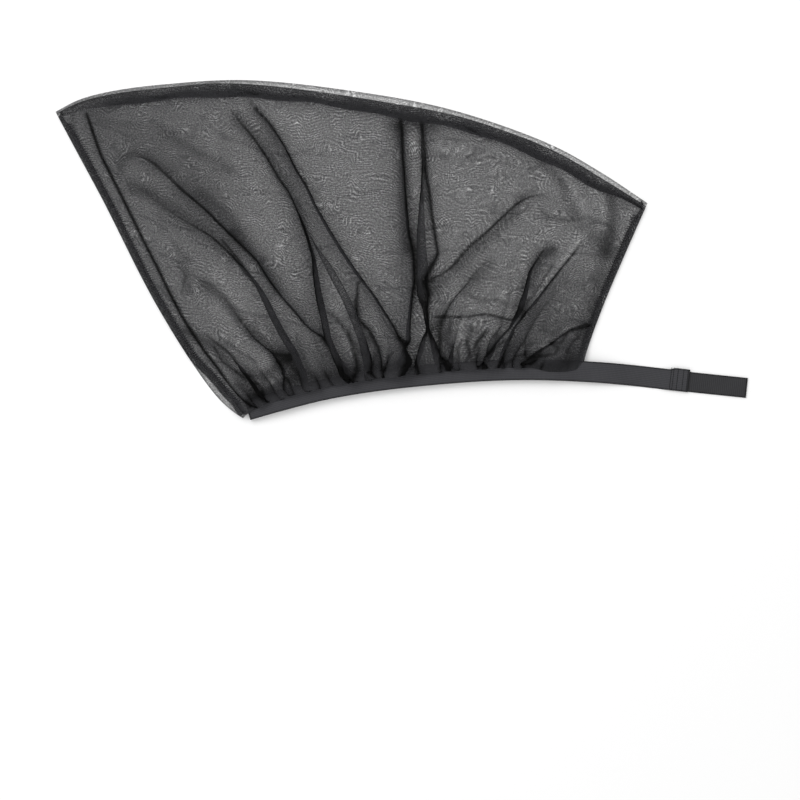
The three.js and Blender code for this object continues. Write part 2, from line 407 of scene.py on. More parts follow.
    def front_bottom(self, u: np.ndarray, v: np.ndarray) -> np.ndarray:
        """Gives the height of the front panel before its folds.

        Args:
            u: Shares across the sheet.
            v: Shares up the sheet.

        Returns:
            Heights of its underside.
        """
        column, row = self.column_length(u), self.row_width(v)
        rim = self.seam_bottom(u, v) + self.seam_thickness + self.gap
        rim = rim + self.band_lift * self.band_share(u, v)
        pocket = self.mesh_thickness + self.pocket_height
        mouth = self.rear_band_top + self.mouth_height + self.band_lift
        room = mixed(pocket, mouth, self.margin_share(v * column))
        from_top = (1 - v) * column - self.peek - self.top_hem_width(u)
        inside = smooth(from_top / self.rim_width)
        for from_side in (u * row, (1 - u) * row):
            inside = inside * smooth((from_side - self.side_seam_width) / self.rim_width)
        return mixed(rim, room, inside)

    def front_band_bottom(self, along: np.ndarray) -> np.ndarray:
        """Gives the height of the front band and the strap.

        Args:
            along: Distances along the band.

        Returns:
            Heights of its underside.
        """
        u = np.minimum(along / self.mouth_width, 1.0)
        sewn = self.front_bottom(u, np.zeros_like(u)) - self.gap - self.band_thickness
        dropped = sewn * (1 - smooth((along - self.mouth_width) / self.strap_drop))
        lap = smooth((along - self.hook_start + self.lap_ramp) / self.lap_ramp)
        return np.maximum(dropped, (self.hook_thickness + self.gap) * lap)

    def from_photo(self, pixels: Points) -> np.ndarray:
        """Returns plan points for pixels of the photograph."""
        x, y = np.array(pixels, dtype=float).T
        return np.stack([x - PHOTO_LEFT, PHOTO_BOTTOM - y], -1) * MM_PER_PIXEL * MM

    def shares_of(self, points: np.ndarray) -> np.ndarray:
        """Finds the shares u and v of the sheet at plan points.

        Args:
            points: Rows of x and y.

        Returns:
            Rows of u and v, from the nearest point of a fine net.
        """
        u, v = np.meshgrid(*(np.linspace(0, 1, count) for count in self.FINE_NET))
        net = self.on_sheet(u, v).reshape(-1, 2)
        nearest = [int(((net - point) ** 2).sum(-1).argmin()) for point in points]
        return np.stack([u.ravel()[nearest], v.ravel()[nearest]], -1)

    def placed(self, flat: np.ndarray, z: np.ndarray) -> np.ndarray:
        """Returns frame coordinates of plan points at heights."""
        return np.concatenate([flat + self.origin, np.broadcast_to(z, flat.shape[:-1])[..., None]], -1)


# Pieces of mesh


def net(
    name: str,
    columns: int,
    rows: int,
    place: Callable[[np.ndarray, np.ndarray], dict],
    facing_down: bool = False,
) -> bpy.types.Object:
    """Makes a piece from a grid whose vertices are then moved into place.

    Args:
        name: The piece's name.
        columns: Faces across.
        rows: Faces up.
        place: Gives, for the vertices' shares across and up, "co" in metres, "uv" in metres of
            flat cloth, and any further vertex values by name.
        facing_down: Turns the faces over, for a sheet that faces down.

    Returns:
        The new object, at the origin.
    """
    grid = bmesh.new()
    bmesh.ops.create_grid(grid, x_segments=columns, y_segments=rows, size=0.5)
    mesh = bpy.data.meshes.new(name)
    grid.to_mesh(mesh)
    grid.free()
    flat = np.empty(len(mesh.vertices) * 3)
    mesh.vertices.foreach_get("co", flat)
    shares = flat.reshape(-1, 3) + 0.5
    values = place(shares[:, 0], shares[:, 1])
    mesh.vertices.foreach_set("co", values.pop("co").ravel())
    lay_cloth(mesh, values.pop("uv"))
    for key, value in values.items():
        mesh.attributes.new(key, "FLOAT", "POINT").data.foreach_set("value", value)
    if facing_down:
        mesh.flip_normals()
    mesh.shade_smooth()
    mesh.update()
    return linked(name, mesh)


def close_ends(piece: bpy.types.Object) -> None:
    """Merges a rolled grid's seam and closes its two ends.

    Args:
        piece: A piece made from a grid rolled into a tube.
    """
    shell = bmesh.new()
    shell.from_mesh(piece.data)
    bmesh.ops.remove_doubles(shell, verts=shell.verts, dist=1e-6)
    open_edges = [edge for edge in shell.edges if edge.is_boundary]
    bmesh.ops.holes_fill(shell, edges=open_edges, sides=0)
    bmesh.ops.recalc_face_normals(shell, faces=shell.faces)
    shell.to_mesh(piece.data)
    shell.free()
    piece.data.shade_smooth()


def dress(
    piece: bpy.types.Object,
    material: bpy.types.Material,
    nodes: Sequence[str] = (),
) -> bpy.types.Object:
    """Gives a piece its material and slot, and ties it to the frame.

    Args:
        piece: The piece.
        material: Its finish.
        nodes: CAD nodes that the piece stands for.

    Returns:
        The piece.
    """
    piece.data.materials.clear()
    piece.data.materials.append(material)
    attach(piece, BODY)
    if nodes:
        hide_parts(*nodes)
    LOG.info("%s: %d faces", piece.name, len(piece.data.polygons))
    return piece


def strands(
    name: str, ends: Sequence[tuple[np.ndarray, np.ndarray]], radius: float, ring: int = 6,
) -> bpy.types.Object:
    """Makes one piece of many short, round-ended strands.

    Args:
        name: The piece's name.
        ends: The two ends of each strand, in frame coordinates.
        radius: The strands' radius.
        ring: Faces round a strand.

    Returns:
        The piece, without a material.
    """
    ball = bmesh.new()
    bmesh.ops.create_uvsphere(ball, u_segments=ring, v_segments=ring - 2, radius=1.0)
    form = np.array([vertex.co for vertex in ball.verts])
    faces = [[vertex.index for vertex in face.verts] for face in ball.faces]
    ball.free()
    lows, highs = (np.array([pair[side] for pair in ends]) for side in (0, 1))
    points, made_faces = [], []
    for count, (low, high) in enumerate(zip(lows, highs)):
        run = Vector(high) - Vector(low)
        turn = np.array(run.to_track_quat("Z", "Y").to_matrix())
        size = np.array([radius, radius, run.length / 2 + radius])
        points.append((form * size) @ turn.T + (low + high) / 2)
        made_faces += [[count * len(form) + index for index in face] for face in faces]
    points = np.vstack(points)
    mesh = bpy.data.meshes.new(name)
    mesh.from_pydata(points.tolist(), [], made_faces)
    lay_cloth(mesh, points[:, :2])
    mesh.shade_smooth()
    return linked(name, mesh)


# Finishes


@dataclass(frozen=True)
class StretchMesh:
    """Warp-knitted polyester mesh: thin black threads round open holes.

    Each layer lets part of the light through, so one layer looks pale over a white ground, two
    look dark grey and a fold of four looks nearly black. The vertex value "crowding" says how much
    more thread than one flat layer stands in the way; it also carries painted shadows beside folds
    and in valleys, and painted highlights on crests. "gloom" is painted shade: it darkens the
    thread's colour towards painted_crease_shade where little light reaches a crease. "slip" says
    how far the layers have moved over each other, and "swirl" how far they are twisted: these two
    steer the fine curling lines.
    """

    name: str
    thread: str = "#303032"
    painted_crease_shade: str = "#030303"
    open_share: float = 0.545
    line_pitch: float = 3.7 * MM
    line_contrast: float = 0.62
    grain: float = 1.9
    fleck: float = 0.5
    twist_scale: float = 26.0
    patch_scale: float = 55.0
    slub_scale: float = 480.0
    hole_scale: float = 820.0
    roughness: float = 0.75
    shine: float = 0.05

    def material(self) -> bpy.types.Material:
        """Builds the finish as nodes.

        Returns:
            The material.
        """
        made, tree = blank_material(self.name)
        cloth = add_node(tree, "ShaderNodeUVMap", {"uv_map": CLOTH_UV})
        crowding, gloom, slip, swirl = (
            add_node(tree, "ShaderNodeAttribute", {"attribute_name": name}).outputs["Fac"]
            for name in ("crowding", "gloom", "slip", "swirl")
        )
        # The two layers are the same net, slightly turned and stretched: they beat in lines that
        # lie nearly level, 3 to 4 mm apart, and curl where the layers are twisted.
        twist = add_node(tree, "ShaderNodeTexNoise", {"noise_dimensions": "2D"}, {
            "Vector": cloth, "Scale": self.twist_scale, "Detail": 2.4, "Roughness": 0.45,
            "Distortion": 0.4,
        })
        centred = add_node(tree, "ShaderNodeMath", {"operation": "SUBTRACT"}, {0: twist, 1: 0.5})
        curled = add_node(tree, "ShaderNodeMath", {"operation": "MULTIPLY_ADD"}, {
            0: centred, 1: swirl, 2: slip,
        })
        level = add_node(tree, "ShaderNodeSeparateXYZ", {}, {0: cloth}).outputs["Y"]
        lay = add_node(tree, "ShaderNodeMath", {"operation": "MULTIPLY_ADD"}, {
            0: level, 1: 1 / self.line_pitch, 2: curled,
        })
        fringe = add_node(tree, "ShaderNodeMath", {"operation": "PINGPONG"}, {0: lay, 1: 0.5})
        # The lines fade in and out over the cloth, as its tension changes.
        patches = add_node(tree, "ShaderNodeTexNoise", {"noise_dimensions": "2D"}, {
            "Vector": cloth, "Scale": self.patch_scale, "Detail": 2.0,
        })
        shown = add_node(tree, "ShaderNodeMapRange", {}, {
            "Value": patches, "From Min": 0.38, "From Max": 0.66, "To Min": 0.3, "To Max": 1.0,
        })
        centred_lines = add_node(tree, "ShaderNodeMath", {"operation": "SUBTRACT"}, {0: 0.25, 1: fringe})
        lines = add_node(tree, "ShaderNodeMath", {"operation": "MULTIPLY"}, {0: centred_lines, 1: shown})
        # Yarn slubs and uneven holes: the real 0.5 mm net is drawn as a grain of 1 to 2 mm, as a
        # finer one would vanish between two pixels.
        slubs = add_node(tree, "ShaderNodeTexNoise", {"noise_dimensions": "2D"}, {
            "Vector": cloth, "Scale": self.slub_scale, "Detail": 1.5, "Roughness": 0.6,
        })
        holes = add_node(tree, "ShaderNodeTexVoronoi", {
            "voronoi_dimensions": "2D", "feature": "DISTANCE_TO_EDGE",
        }, {"Vector": cloth, "Scale": self.hole_scale, "Randomness": 0.6})
        # Short pale flecks where the holes of both layers meet.
        meeting = add_node(tree, "ShaderNodeMapRange", {}, {
            "Value": patches, "From Min": 0.56, "From Max": 0.68, "To Min": 0.0, "To Max": 1.0,
        })
        thinnest = add_node(tree, "ShaderNodeMapRange", {}, {
            "Value": fringe, "From Min": 0.36, "From Max": 0.5, "To Min": 0.0, "To Max": 1.0,
        })
        flecks = add_node(tree, "ShaderNodeMath", {"operation": "MULTIPLY"}, {0: meeting, 1: thinnest})
        # Layers of thread: one, plus or minus what the patterns, folds and gathers bring, painted shadows and
        # highlights included.
        lined = add_node(tree, "ShaderNodeMath", {"operation": "MULTIPLY_ADD"}, {
            0: lines, 1: self.line_contrast * 4, 2: 0.98 - self.grain / 2,
        })
        grained = add_node(tree, "ShaderNodeMath", {"operation": "MULTIPLY_ADD"}, {
            0: slubs, 1: self.grain, 2: lined,
        })
        netted = add_node(tree, "ShaderNodeMath", {"operation": "MULTIPLY_ADD"}, {
            0: holes.outputs["Distance"], 1: -0.6, 2: grained,
        })
        flecked = add_node(tree, "ShaderNodeMath", {"operation": "MULTIPLY_ADD"}, {
            0: flecks, 1: -self.fleck, 2: netted,
        })
        layers = add_node(tree, "ShaderNodeMath", {"operation": "ADD"}, {0: flecked, 1: crowding})
        through = add_node(tree, "ShaderNodeMath", {"operation": "POWER"}, {0: self.open_share, 1: layers})
        cover = add_node(tree, "ShaderNodeMath", {"operation": "SUBTRACT", "use_clamp": True}, {
            0: 1.0, 1: through,
        })
        bump = add_node(tree, "ShaderNodeBump", {}, {
            "Height": slubs, "Strength": 0.3, "Distance": 0.4 * MM,
        })
        # Painted shade: gloom mixes the thread's colour towards painted_crease_shade in creases.
        tone = add_node(tree, "ShaderNodeMix", {"data_type": "RGBA"}, {
            0: gloom, 6: linear(self.thread), 7: linear(self.painted_crease_shade),
        })
        thread = add_node(tree, "ShaderNodeBsdfPrincipled", {}, {
            "Base Color": tone.outputs[2], "Roughness": self.roughness,
            "Specular IOR Level": self.shine, "Alpha": cover, "Normal": bump,
        })
        add_node(tree, "ShaderNodeOutputMaterial", {}, {"Surface": thread})
        return made


class Weave(Enum):
    """How a narrow fabric is made: pitch of its ribs along and across it, in metres."""

    KNITTED_ELASTIC = (1.6 * MM, 2.2 * MM)
    WOVEN_TAPE = (2.4 * MM, 1.5 * MM)
    PILE = (1.1 * MM, 1.1 * MM)
    THREAD = (0.6 * MM, 0.6 * MM)


@dataclass(frozen=True)
class NarrowFabric:
    """Dyed polyester narrow fabric: matt, ribbed, with slight colour variation and painted edge shade."""

    name: str
    shade: str
    dark_shade: str
    weave: Weave
    roughness: float = 0.8
    relief: float = 0.12 * MM
    fuzz_scale: float = 900.0
    wear_scale: float = 28.0
    sheen: float = 0.05
    edge_shade: str = "#070708"

    def material(self) -> bpy.types.Material:
        """Builds the finish as nodes.

        Returns:
            The material.
        """
        made, tree = blank_material(self.name)
        pitch_along, pitch_across = self.weave.value
        cloth = add_node(tree, "ShaderNodeUVMap", {"uv_map": CLOTH_UV})
        ribs = []
        for direction, pitch in (("X", pitch_along), ("Y", pitch_across)):
            ribs.append(add_node(tree, "ShaderNodeTexWave", {
                "wave_type": "BANDS", "bands_direction": direction, "wave_profile": "SIN",
            }, {
                "Vector": cloth, "Scale": WAVE_REPEAT / pitch, "Distortion": 0.6, "Detail": 1.0,
                "Detail Scale": 2.0,
            }).outputs["Fac"])
        crossed = add_node(tree, "ShaderNodeMath", {"operation": "MULTIPLY"}, {0: ribs[0], 1: ribs[1]})
        fuzz = add_node(tree, "ShaderNodeTexNoise", {"noise_dimensions": "2D"}, {
            "Vector": cloth, "Scale": self.fuzz_scale, "Detail": 3.0,
        })
        worn = add_node(tree, "ShaderNodeTexNoise", {"noise_dimensions": "2D"}, {
            "Vector": cloth, "Scale": self.wear_scale, "Detail": 4.0, "Roughness": 0.6,
        })
        height = add_node(tree, "ShaderNodeMath", {"operation": "MULTIPLY_ADD"}, {
            0: fuzz, 1: 0.35, 2: crossed,
        })
        tone = add_node(tree, "ShaderNodeMath", {"operation": "MULTIPLY_ADD", "use_clamp": True}, {
            0: worn, 1: 0.5, 2: crossed,
        })
        color = add_node(tree, "ShaderNodeMix", {"data_type": "RGBA"}, {
            0: tone, 6: linear(self.dark_shade), 7: linear(self.shade),
        })
        # Painted shade: near the strip's edges and ends, where rim rises to 1, the colour is mixed towards
        # edge_shade.
        rim = add_node(tree, "ShaderNodeAttribute", {"attribute_name": "rim"}).outputs["Fac"]
        edged = add_node(tree, "ShaderNodeMix", {"data_type": "RGBA"}, {
            0: rim, 6: color.outputs[2], 7: linear(self.edge_shade),
        })
        bump = add_node(tree, "ShaderNodeBump", {}, {
            "Height": height, "Strength": 0.8, "Distance": self.relief,
        })
        cloth_shader = add_node(tree, "ShaderNodeBsdfPrincipled", {}, {
            "Base Color": edged.outputs[2], "Roughness": self.roughness,
            "Specular IOR Level": 0.2, "Sheen Weight": self.sheen, "Normal": bump,
        })
        add_node(tree, "ShaderNodeOutputMaterial", {}, {"Surface": cloth_shader})
        return made


# The panels


class Side(Enum):
    """Which edge of a fold lies on top."""

    LEFT = -1
    RIGHT = 1


@dataclass(frozen=True)
class Pleat:
    """A fold that runs up the panel, laid over itself where it is widest.

    stations run from the mouth upwards: x and y in pixels of the photograph, the width that is
    three layers deep in pixels, and the share of the fold's full depth there. left_line and
    right_line say how sharp its two edges are. left_shadow and right_shadow paint shadow beside
    them, as extra layers of thread, over left_fade and right_fade pixels.
    """

    name: str
    stations: Sequence[tuple[float, float, float, float]]
    height: float = 3.5 * MM
    top: Side = Side.RIGHT
    left_line: float = 2.0
    right_line: float = 1.0
    left_shadow: float = 0.0
    left_fade: float = 6.0
    right_shadow: float = 0.0
    right_fade: float = 6.0
    column: Optional[float] = None


@dataclass(frozen=True)
class Crease:
    """A sharp line, a painted soft shadow or a painted highlight along any path, in pixels of the photograph.
    """

    path: Points
    half_width: float
    crowding: float
    height: float = 0.0


PLEATS = (
    Pleat("left hem crease", [
        (246, 404, 0, 1), (218, 370, 0, 1), (183, 317, 0, 1), (158, 267.8, 0, 1), (144.4, 241, 0, 1),
        (120, 192, 0, 1), (102, 156.7, 0, 1), (90, 123, 0, 1), (86, 112, 0, 0.5),
    ], height=1 * MM, left_line=1.7, right_line=1.0, left_shadow=0.5, left_fade=3, column=0.035),
    Pleat("left corner fold", [
        (263, 400, 2, 1), (253, 386, 3, 1), (241, 368, 2, 1), (231, 354, 0, 0.8), (215, 342, 0, 0.4),
        (200, 330, 0, 0),
    ], height=2.5 * MM, left_line=1.5, right_shadow=0.4, right_fade=5),
    Pleat("crumpled fold", [
        (286, 392, 2, 1), (284, 370, 3, 1), (273, 354, 2, 1), (255, 338, 2, 0.8), (245, 326, 2, 0.5),
        (227, 300, 0, 0.2), (215, 285, 0, 0),
    ], height=2 * MM, left_line=1.0, right_line=1.2, left_shadow=0.5, left_fade=6),
    Pleat("left slanting fold", [
        (309, 392, 8, 1), (304, 374, 8, 1), (294, 352, 8, 1), (284, 336, 8, 1), (275.5, 320, 7.5, 1),
        (267, 302, 7, 1), (259, 288, 5, 1), (248, 272, 2.5, 0.9), (231, 254, 1, 0.6), (213, 237, 0, 0.4),
        (178, 216.7, 0, 0.15), (133, 186, 0, 0),
    ], height=4 * MM, left_line=2.2, right_line=0.8, left_shadow=0.3, left_fade=6,
          right_shadow=0.25, right_fade=9, column=0.22),
    Pleat("second slanting fold", [
        (329, 352, 1, 0.3), (325, 345, 2, 0.9), (319, 336, 2.5, 1), (307, 326, 2, 1),
        (295, 312, 2, 1), (283, 298, 2, 1), (270, 280, 2, 1), (258, 261, 2, 1), (240, 243, 1.5, 1),
        (222, 226, 1, 0.9), (204, 208, 1, 0.75), (182, 190, 0, 0.6), (153, 163, 0, 0.35), (131, 152, 0, 0),
    ], height=4 * MM, left_line=2.6, right_line=1.2, left_shadow=0.35, left_fade=4,
          right_shadow=0.75, right_fade=7, column=0.28),
    Pleat("left centre fold", [
        (352, 386, 6, 0.6), (344, 374, 8, 1), (335, 354, 8, 1), (328, 336, 7.5, 1), (324, 318, 7.5, 1),
        (320, 300, 7.5, 1), (316.5, 280, 6.5, 1), (313, 258, 5, 1), (307, 234, 3.5, 1), (299, 214, 2.5, 0.95),
        (290, 194, 2, 0.8), (279, 178, 1, 0.65), (269, 160, 0, 0.5), (255, 140, 0, 0.4), (237, 118, 0, 0.2),
        (230, 108, 0, 0),
    ], height=4.5 * MM, left_line=2.2, right_line=1.6, left_shadow=0.8, left_fade=6,
          right_shadow=0.2, right_fade=4, column=0.335),
    Pleat("flat pleat", [
        (370, 384, 6, 0.6), (367, 362, 8, 1), (363, 342, 9, 1), (355, 320, 9, 1), (346, 298, 9, 1),
        (336, 280, 9, 1), (326, 262, 7, 1), (316, 245, 4, 0.9), (306, 225, 1, 0.5), (298, 210, 0, 0),
    ], height=3 * MM, top=Side.LEFT, left_line=0.5, right_line=0.7, column=0.375),
    Pleat("thin fold", [
        (358, 382, 1, 1), (357, 366, 1, 1), (353, 346, 0, 0.9), (345, 330, 0, 0.8), (334, 314, 0, 0.5),
        (322, 304, 0, 0),
    ], height=2 * MM, left_line=1.4, right_shadow=0.3, right_fade=4),
    Pleat("short centre fold", [
        (383, 380, 2, 1), (382, 360, 1.5, 1), (379.5, 348, 1.5, 1), (373, 332, 1, 1), (363, 318, 0, 0.9),
        (359, 302, 0, 0.8), (358, 285, 0, 0.6), (362, 272, 0, 0),
    ], height=3 * MM, left_line=1.6, right_line=0.8, left_shadow=0.35, left_fade=6),
    Pleat("long fold", [
        (396, 378, 3, 0.8), (402, 362, 3, 1), (402, 344, 2, 1), (394, 328, 2, 1), (384, 312, 2.5, 1),
        (373, 294, 3, 1), (358, 276, 4, 1), (342, 252, 4, 1), (328, 229, 4, 1), (316, 207, 3.5, 1),
        (306.5, 187, 3, 1), (295, 168, 2.5, 1), (283.5, 145, 2, 0.95), (270, 124, 1.5, 0.85),
        (257, 110, 1, 0.6), (250, 100, 0, 0),
    ], height=5 * MM, top=Side.LEFT, left_line=1.6, right_line=2.6, left_shadow=0.7, left_fade=7,
          right_shadow=0.15, right_fade=8, column=0.455),
    Pleat("upright fold's left edge", [
        (402, 376, 5, 1), (404, 356, 6, 1), (407, 340, 6, 1), (408.5, 310, 6, 1), (409, 280, 5.5, 1),
        (409, 250, 4.5, 1), (407.5, 225, 4, 1), (406, 205, 3, 0.95), (404.5, 180, 2, 0.8),
        (403, 155, 1.5, 0.65), (401.5, 132, 1, 0.5), (400, 118, 0, 0.2),
    ], height=4.5 * MM, top=Side.LEFT, left_line=1.8, right_line=2.6, left_shadow=0.7, left_fade=8,
          right_shadow=0.1, column=0.55),
    Pleat("upright fold's flat band", [
        (416, 374, 7, 0.8), (420, 352, 9, 1), (423, 330, 10, 1), (423, 305, 11, 1), (422.5, 285, 12, 1),
        (422, 265, 12, 1), (421, 245, 10, 1), (421, 225, 8, 1), (421.5, 205, 6, 0.95), (422, 185, 3, 0.85),
        (422, 165, 2, 0.75), (421.5, 145, 1.5, 0.6), (421, 128, 1, 0.4), (420, 118, 0, 0),
    ], height=4 * MM, left_line=0.6, right_line=1.2, right_shadow=0.5, right_fade=3, column=0.585),
    Pleat("upright fold's right edge", [
        (440, 372, 3, 1), (436, 352, 9, 1), (433.5, 330, 10, 1), (433, 308, 8, 1), (434, 292, 4, 1),
        (433, 280, 2, 1), (435, 268, 1.5, 1), (438.5, 254, 1, 1), (435.6, 234, 1, 0.95),
        (432, 214, 1, 0.9), (429, 194, 1, 0.8), (426, 172, 0, 0.7), (424.5, 154, 0, 0.5), (423, 132, 0, 0.3),
        (422, 120, 0, 0),
    ], height=4 * MM, top=Side.LEFT, left_line=1.5, right_line=2.0, left_shadow=0.2, left_fade=4,
          column=0.61),
    Pleat("short curved fold", [
        (446, 366, 1, 1), (444.5, 350, 1, 1), (444, 334, 1, 1), (445, 318, 1, 1), (448, 308, 1, 0.9),
        (454, 298, 1.5, 0.8), (466, 285, 3, 0.6), (476, 272, 3, 0.4), (486, 262, 2, 0.15), (492, 254, 0, 0),
    ], height=3 * MM, left_line=1.5, right_line=0.8, right_shadow=0.4, right_fade=5, column=0.66),
    Pleat("right slanting fold", [
        (436, 278, 0, 0.5), (444, 274, 1, 0.9), (454, 266, 1, 1), (468, 248, 1, 1), (485.6, 234, 1, 1),
        (503, 217, 1, 0.9), (519, 203, 1, 0.8), (530, 197, 0, 0.5), (549, 193, 0, 0),
    ], height=3 * MM, left_line=2.2, right_line=0.5, right_shadow=0.45, right_fade=5),
    Pleat("right corner fold's left edge", [
        (484, 366, 3, 0.8), (496, 344, 3, 1), (508, 328, 5, 1), (520, 310, 7, 1), (526, 292, 5, 1),
        (530, 272, 4, 0.85), (539, 256, 2, 0.5), (548, 244, 0, 0),
    ], height=4 * MM, left_line=1.6, right_line=1.2, left_shadow=0.25, left_fade=5,
          right_shadow=0.3, right_fade=4, column=0.78),
    Pleat("right corner fold's right edge", [
        (497, 368, 3, 0.8), (505, 346, 4, 1), (514, 330, 5, 1), (525, 316, 5, 1), (538, 299, 3, 1),
        (549, 284, 1.5, 1), (559, 270, 1, 0.9), (572, 254, 0, 0.6), (584, 240, 0, 0),
    ], height=4 * MM, top=Side.LEFT, left_line=1.0, right_line=2.0, right_shadow=0.5, right_fade=8,
          column=0.84),
    Pleat("right hem fold", [
        (520, 368, 4, 0.8), (531, 357, 5, 1), (541, 350, 5, 1), (552, 343, 4, 1), (562, 335, 3, 0.9),
        (572, 329, 2, 0.8), (588, 323, 0, 0.4),
    ], height=3 * MM, left_line=1.4, right_line=1.2, right_shadow=0.5, right_fade=10),
)

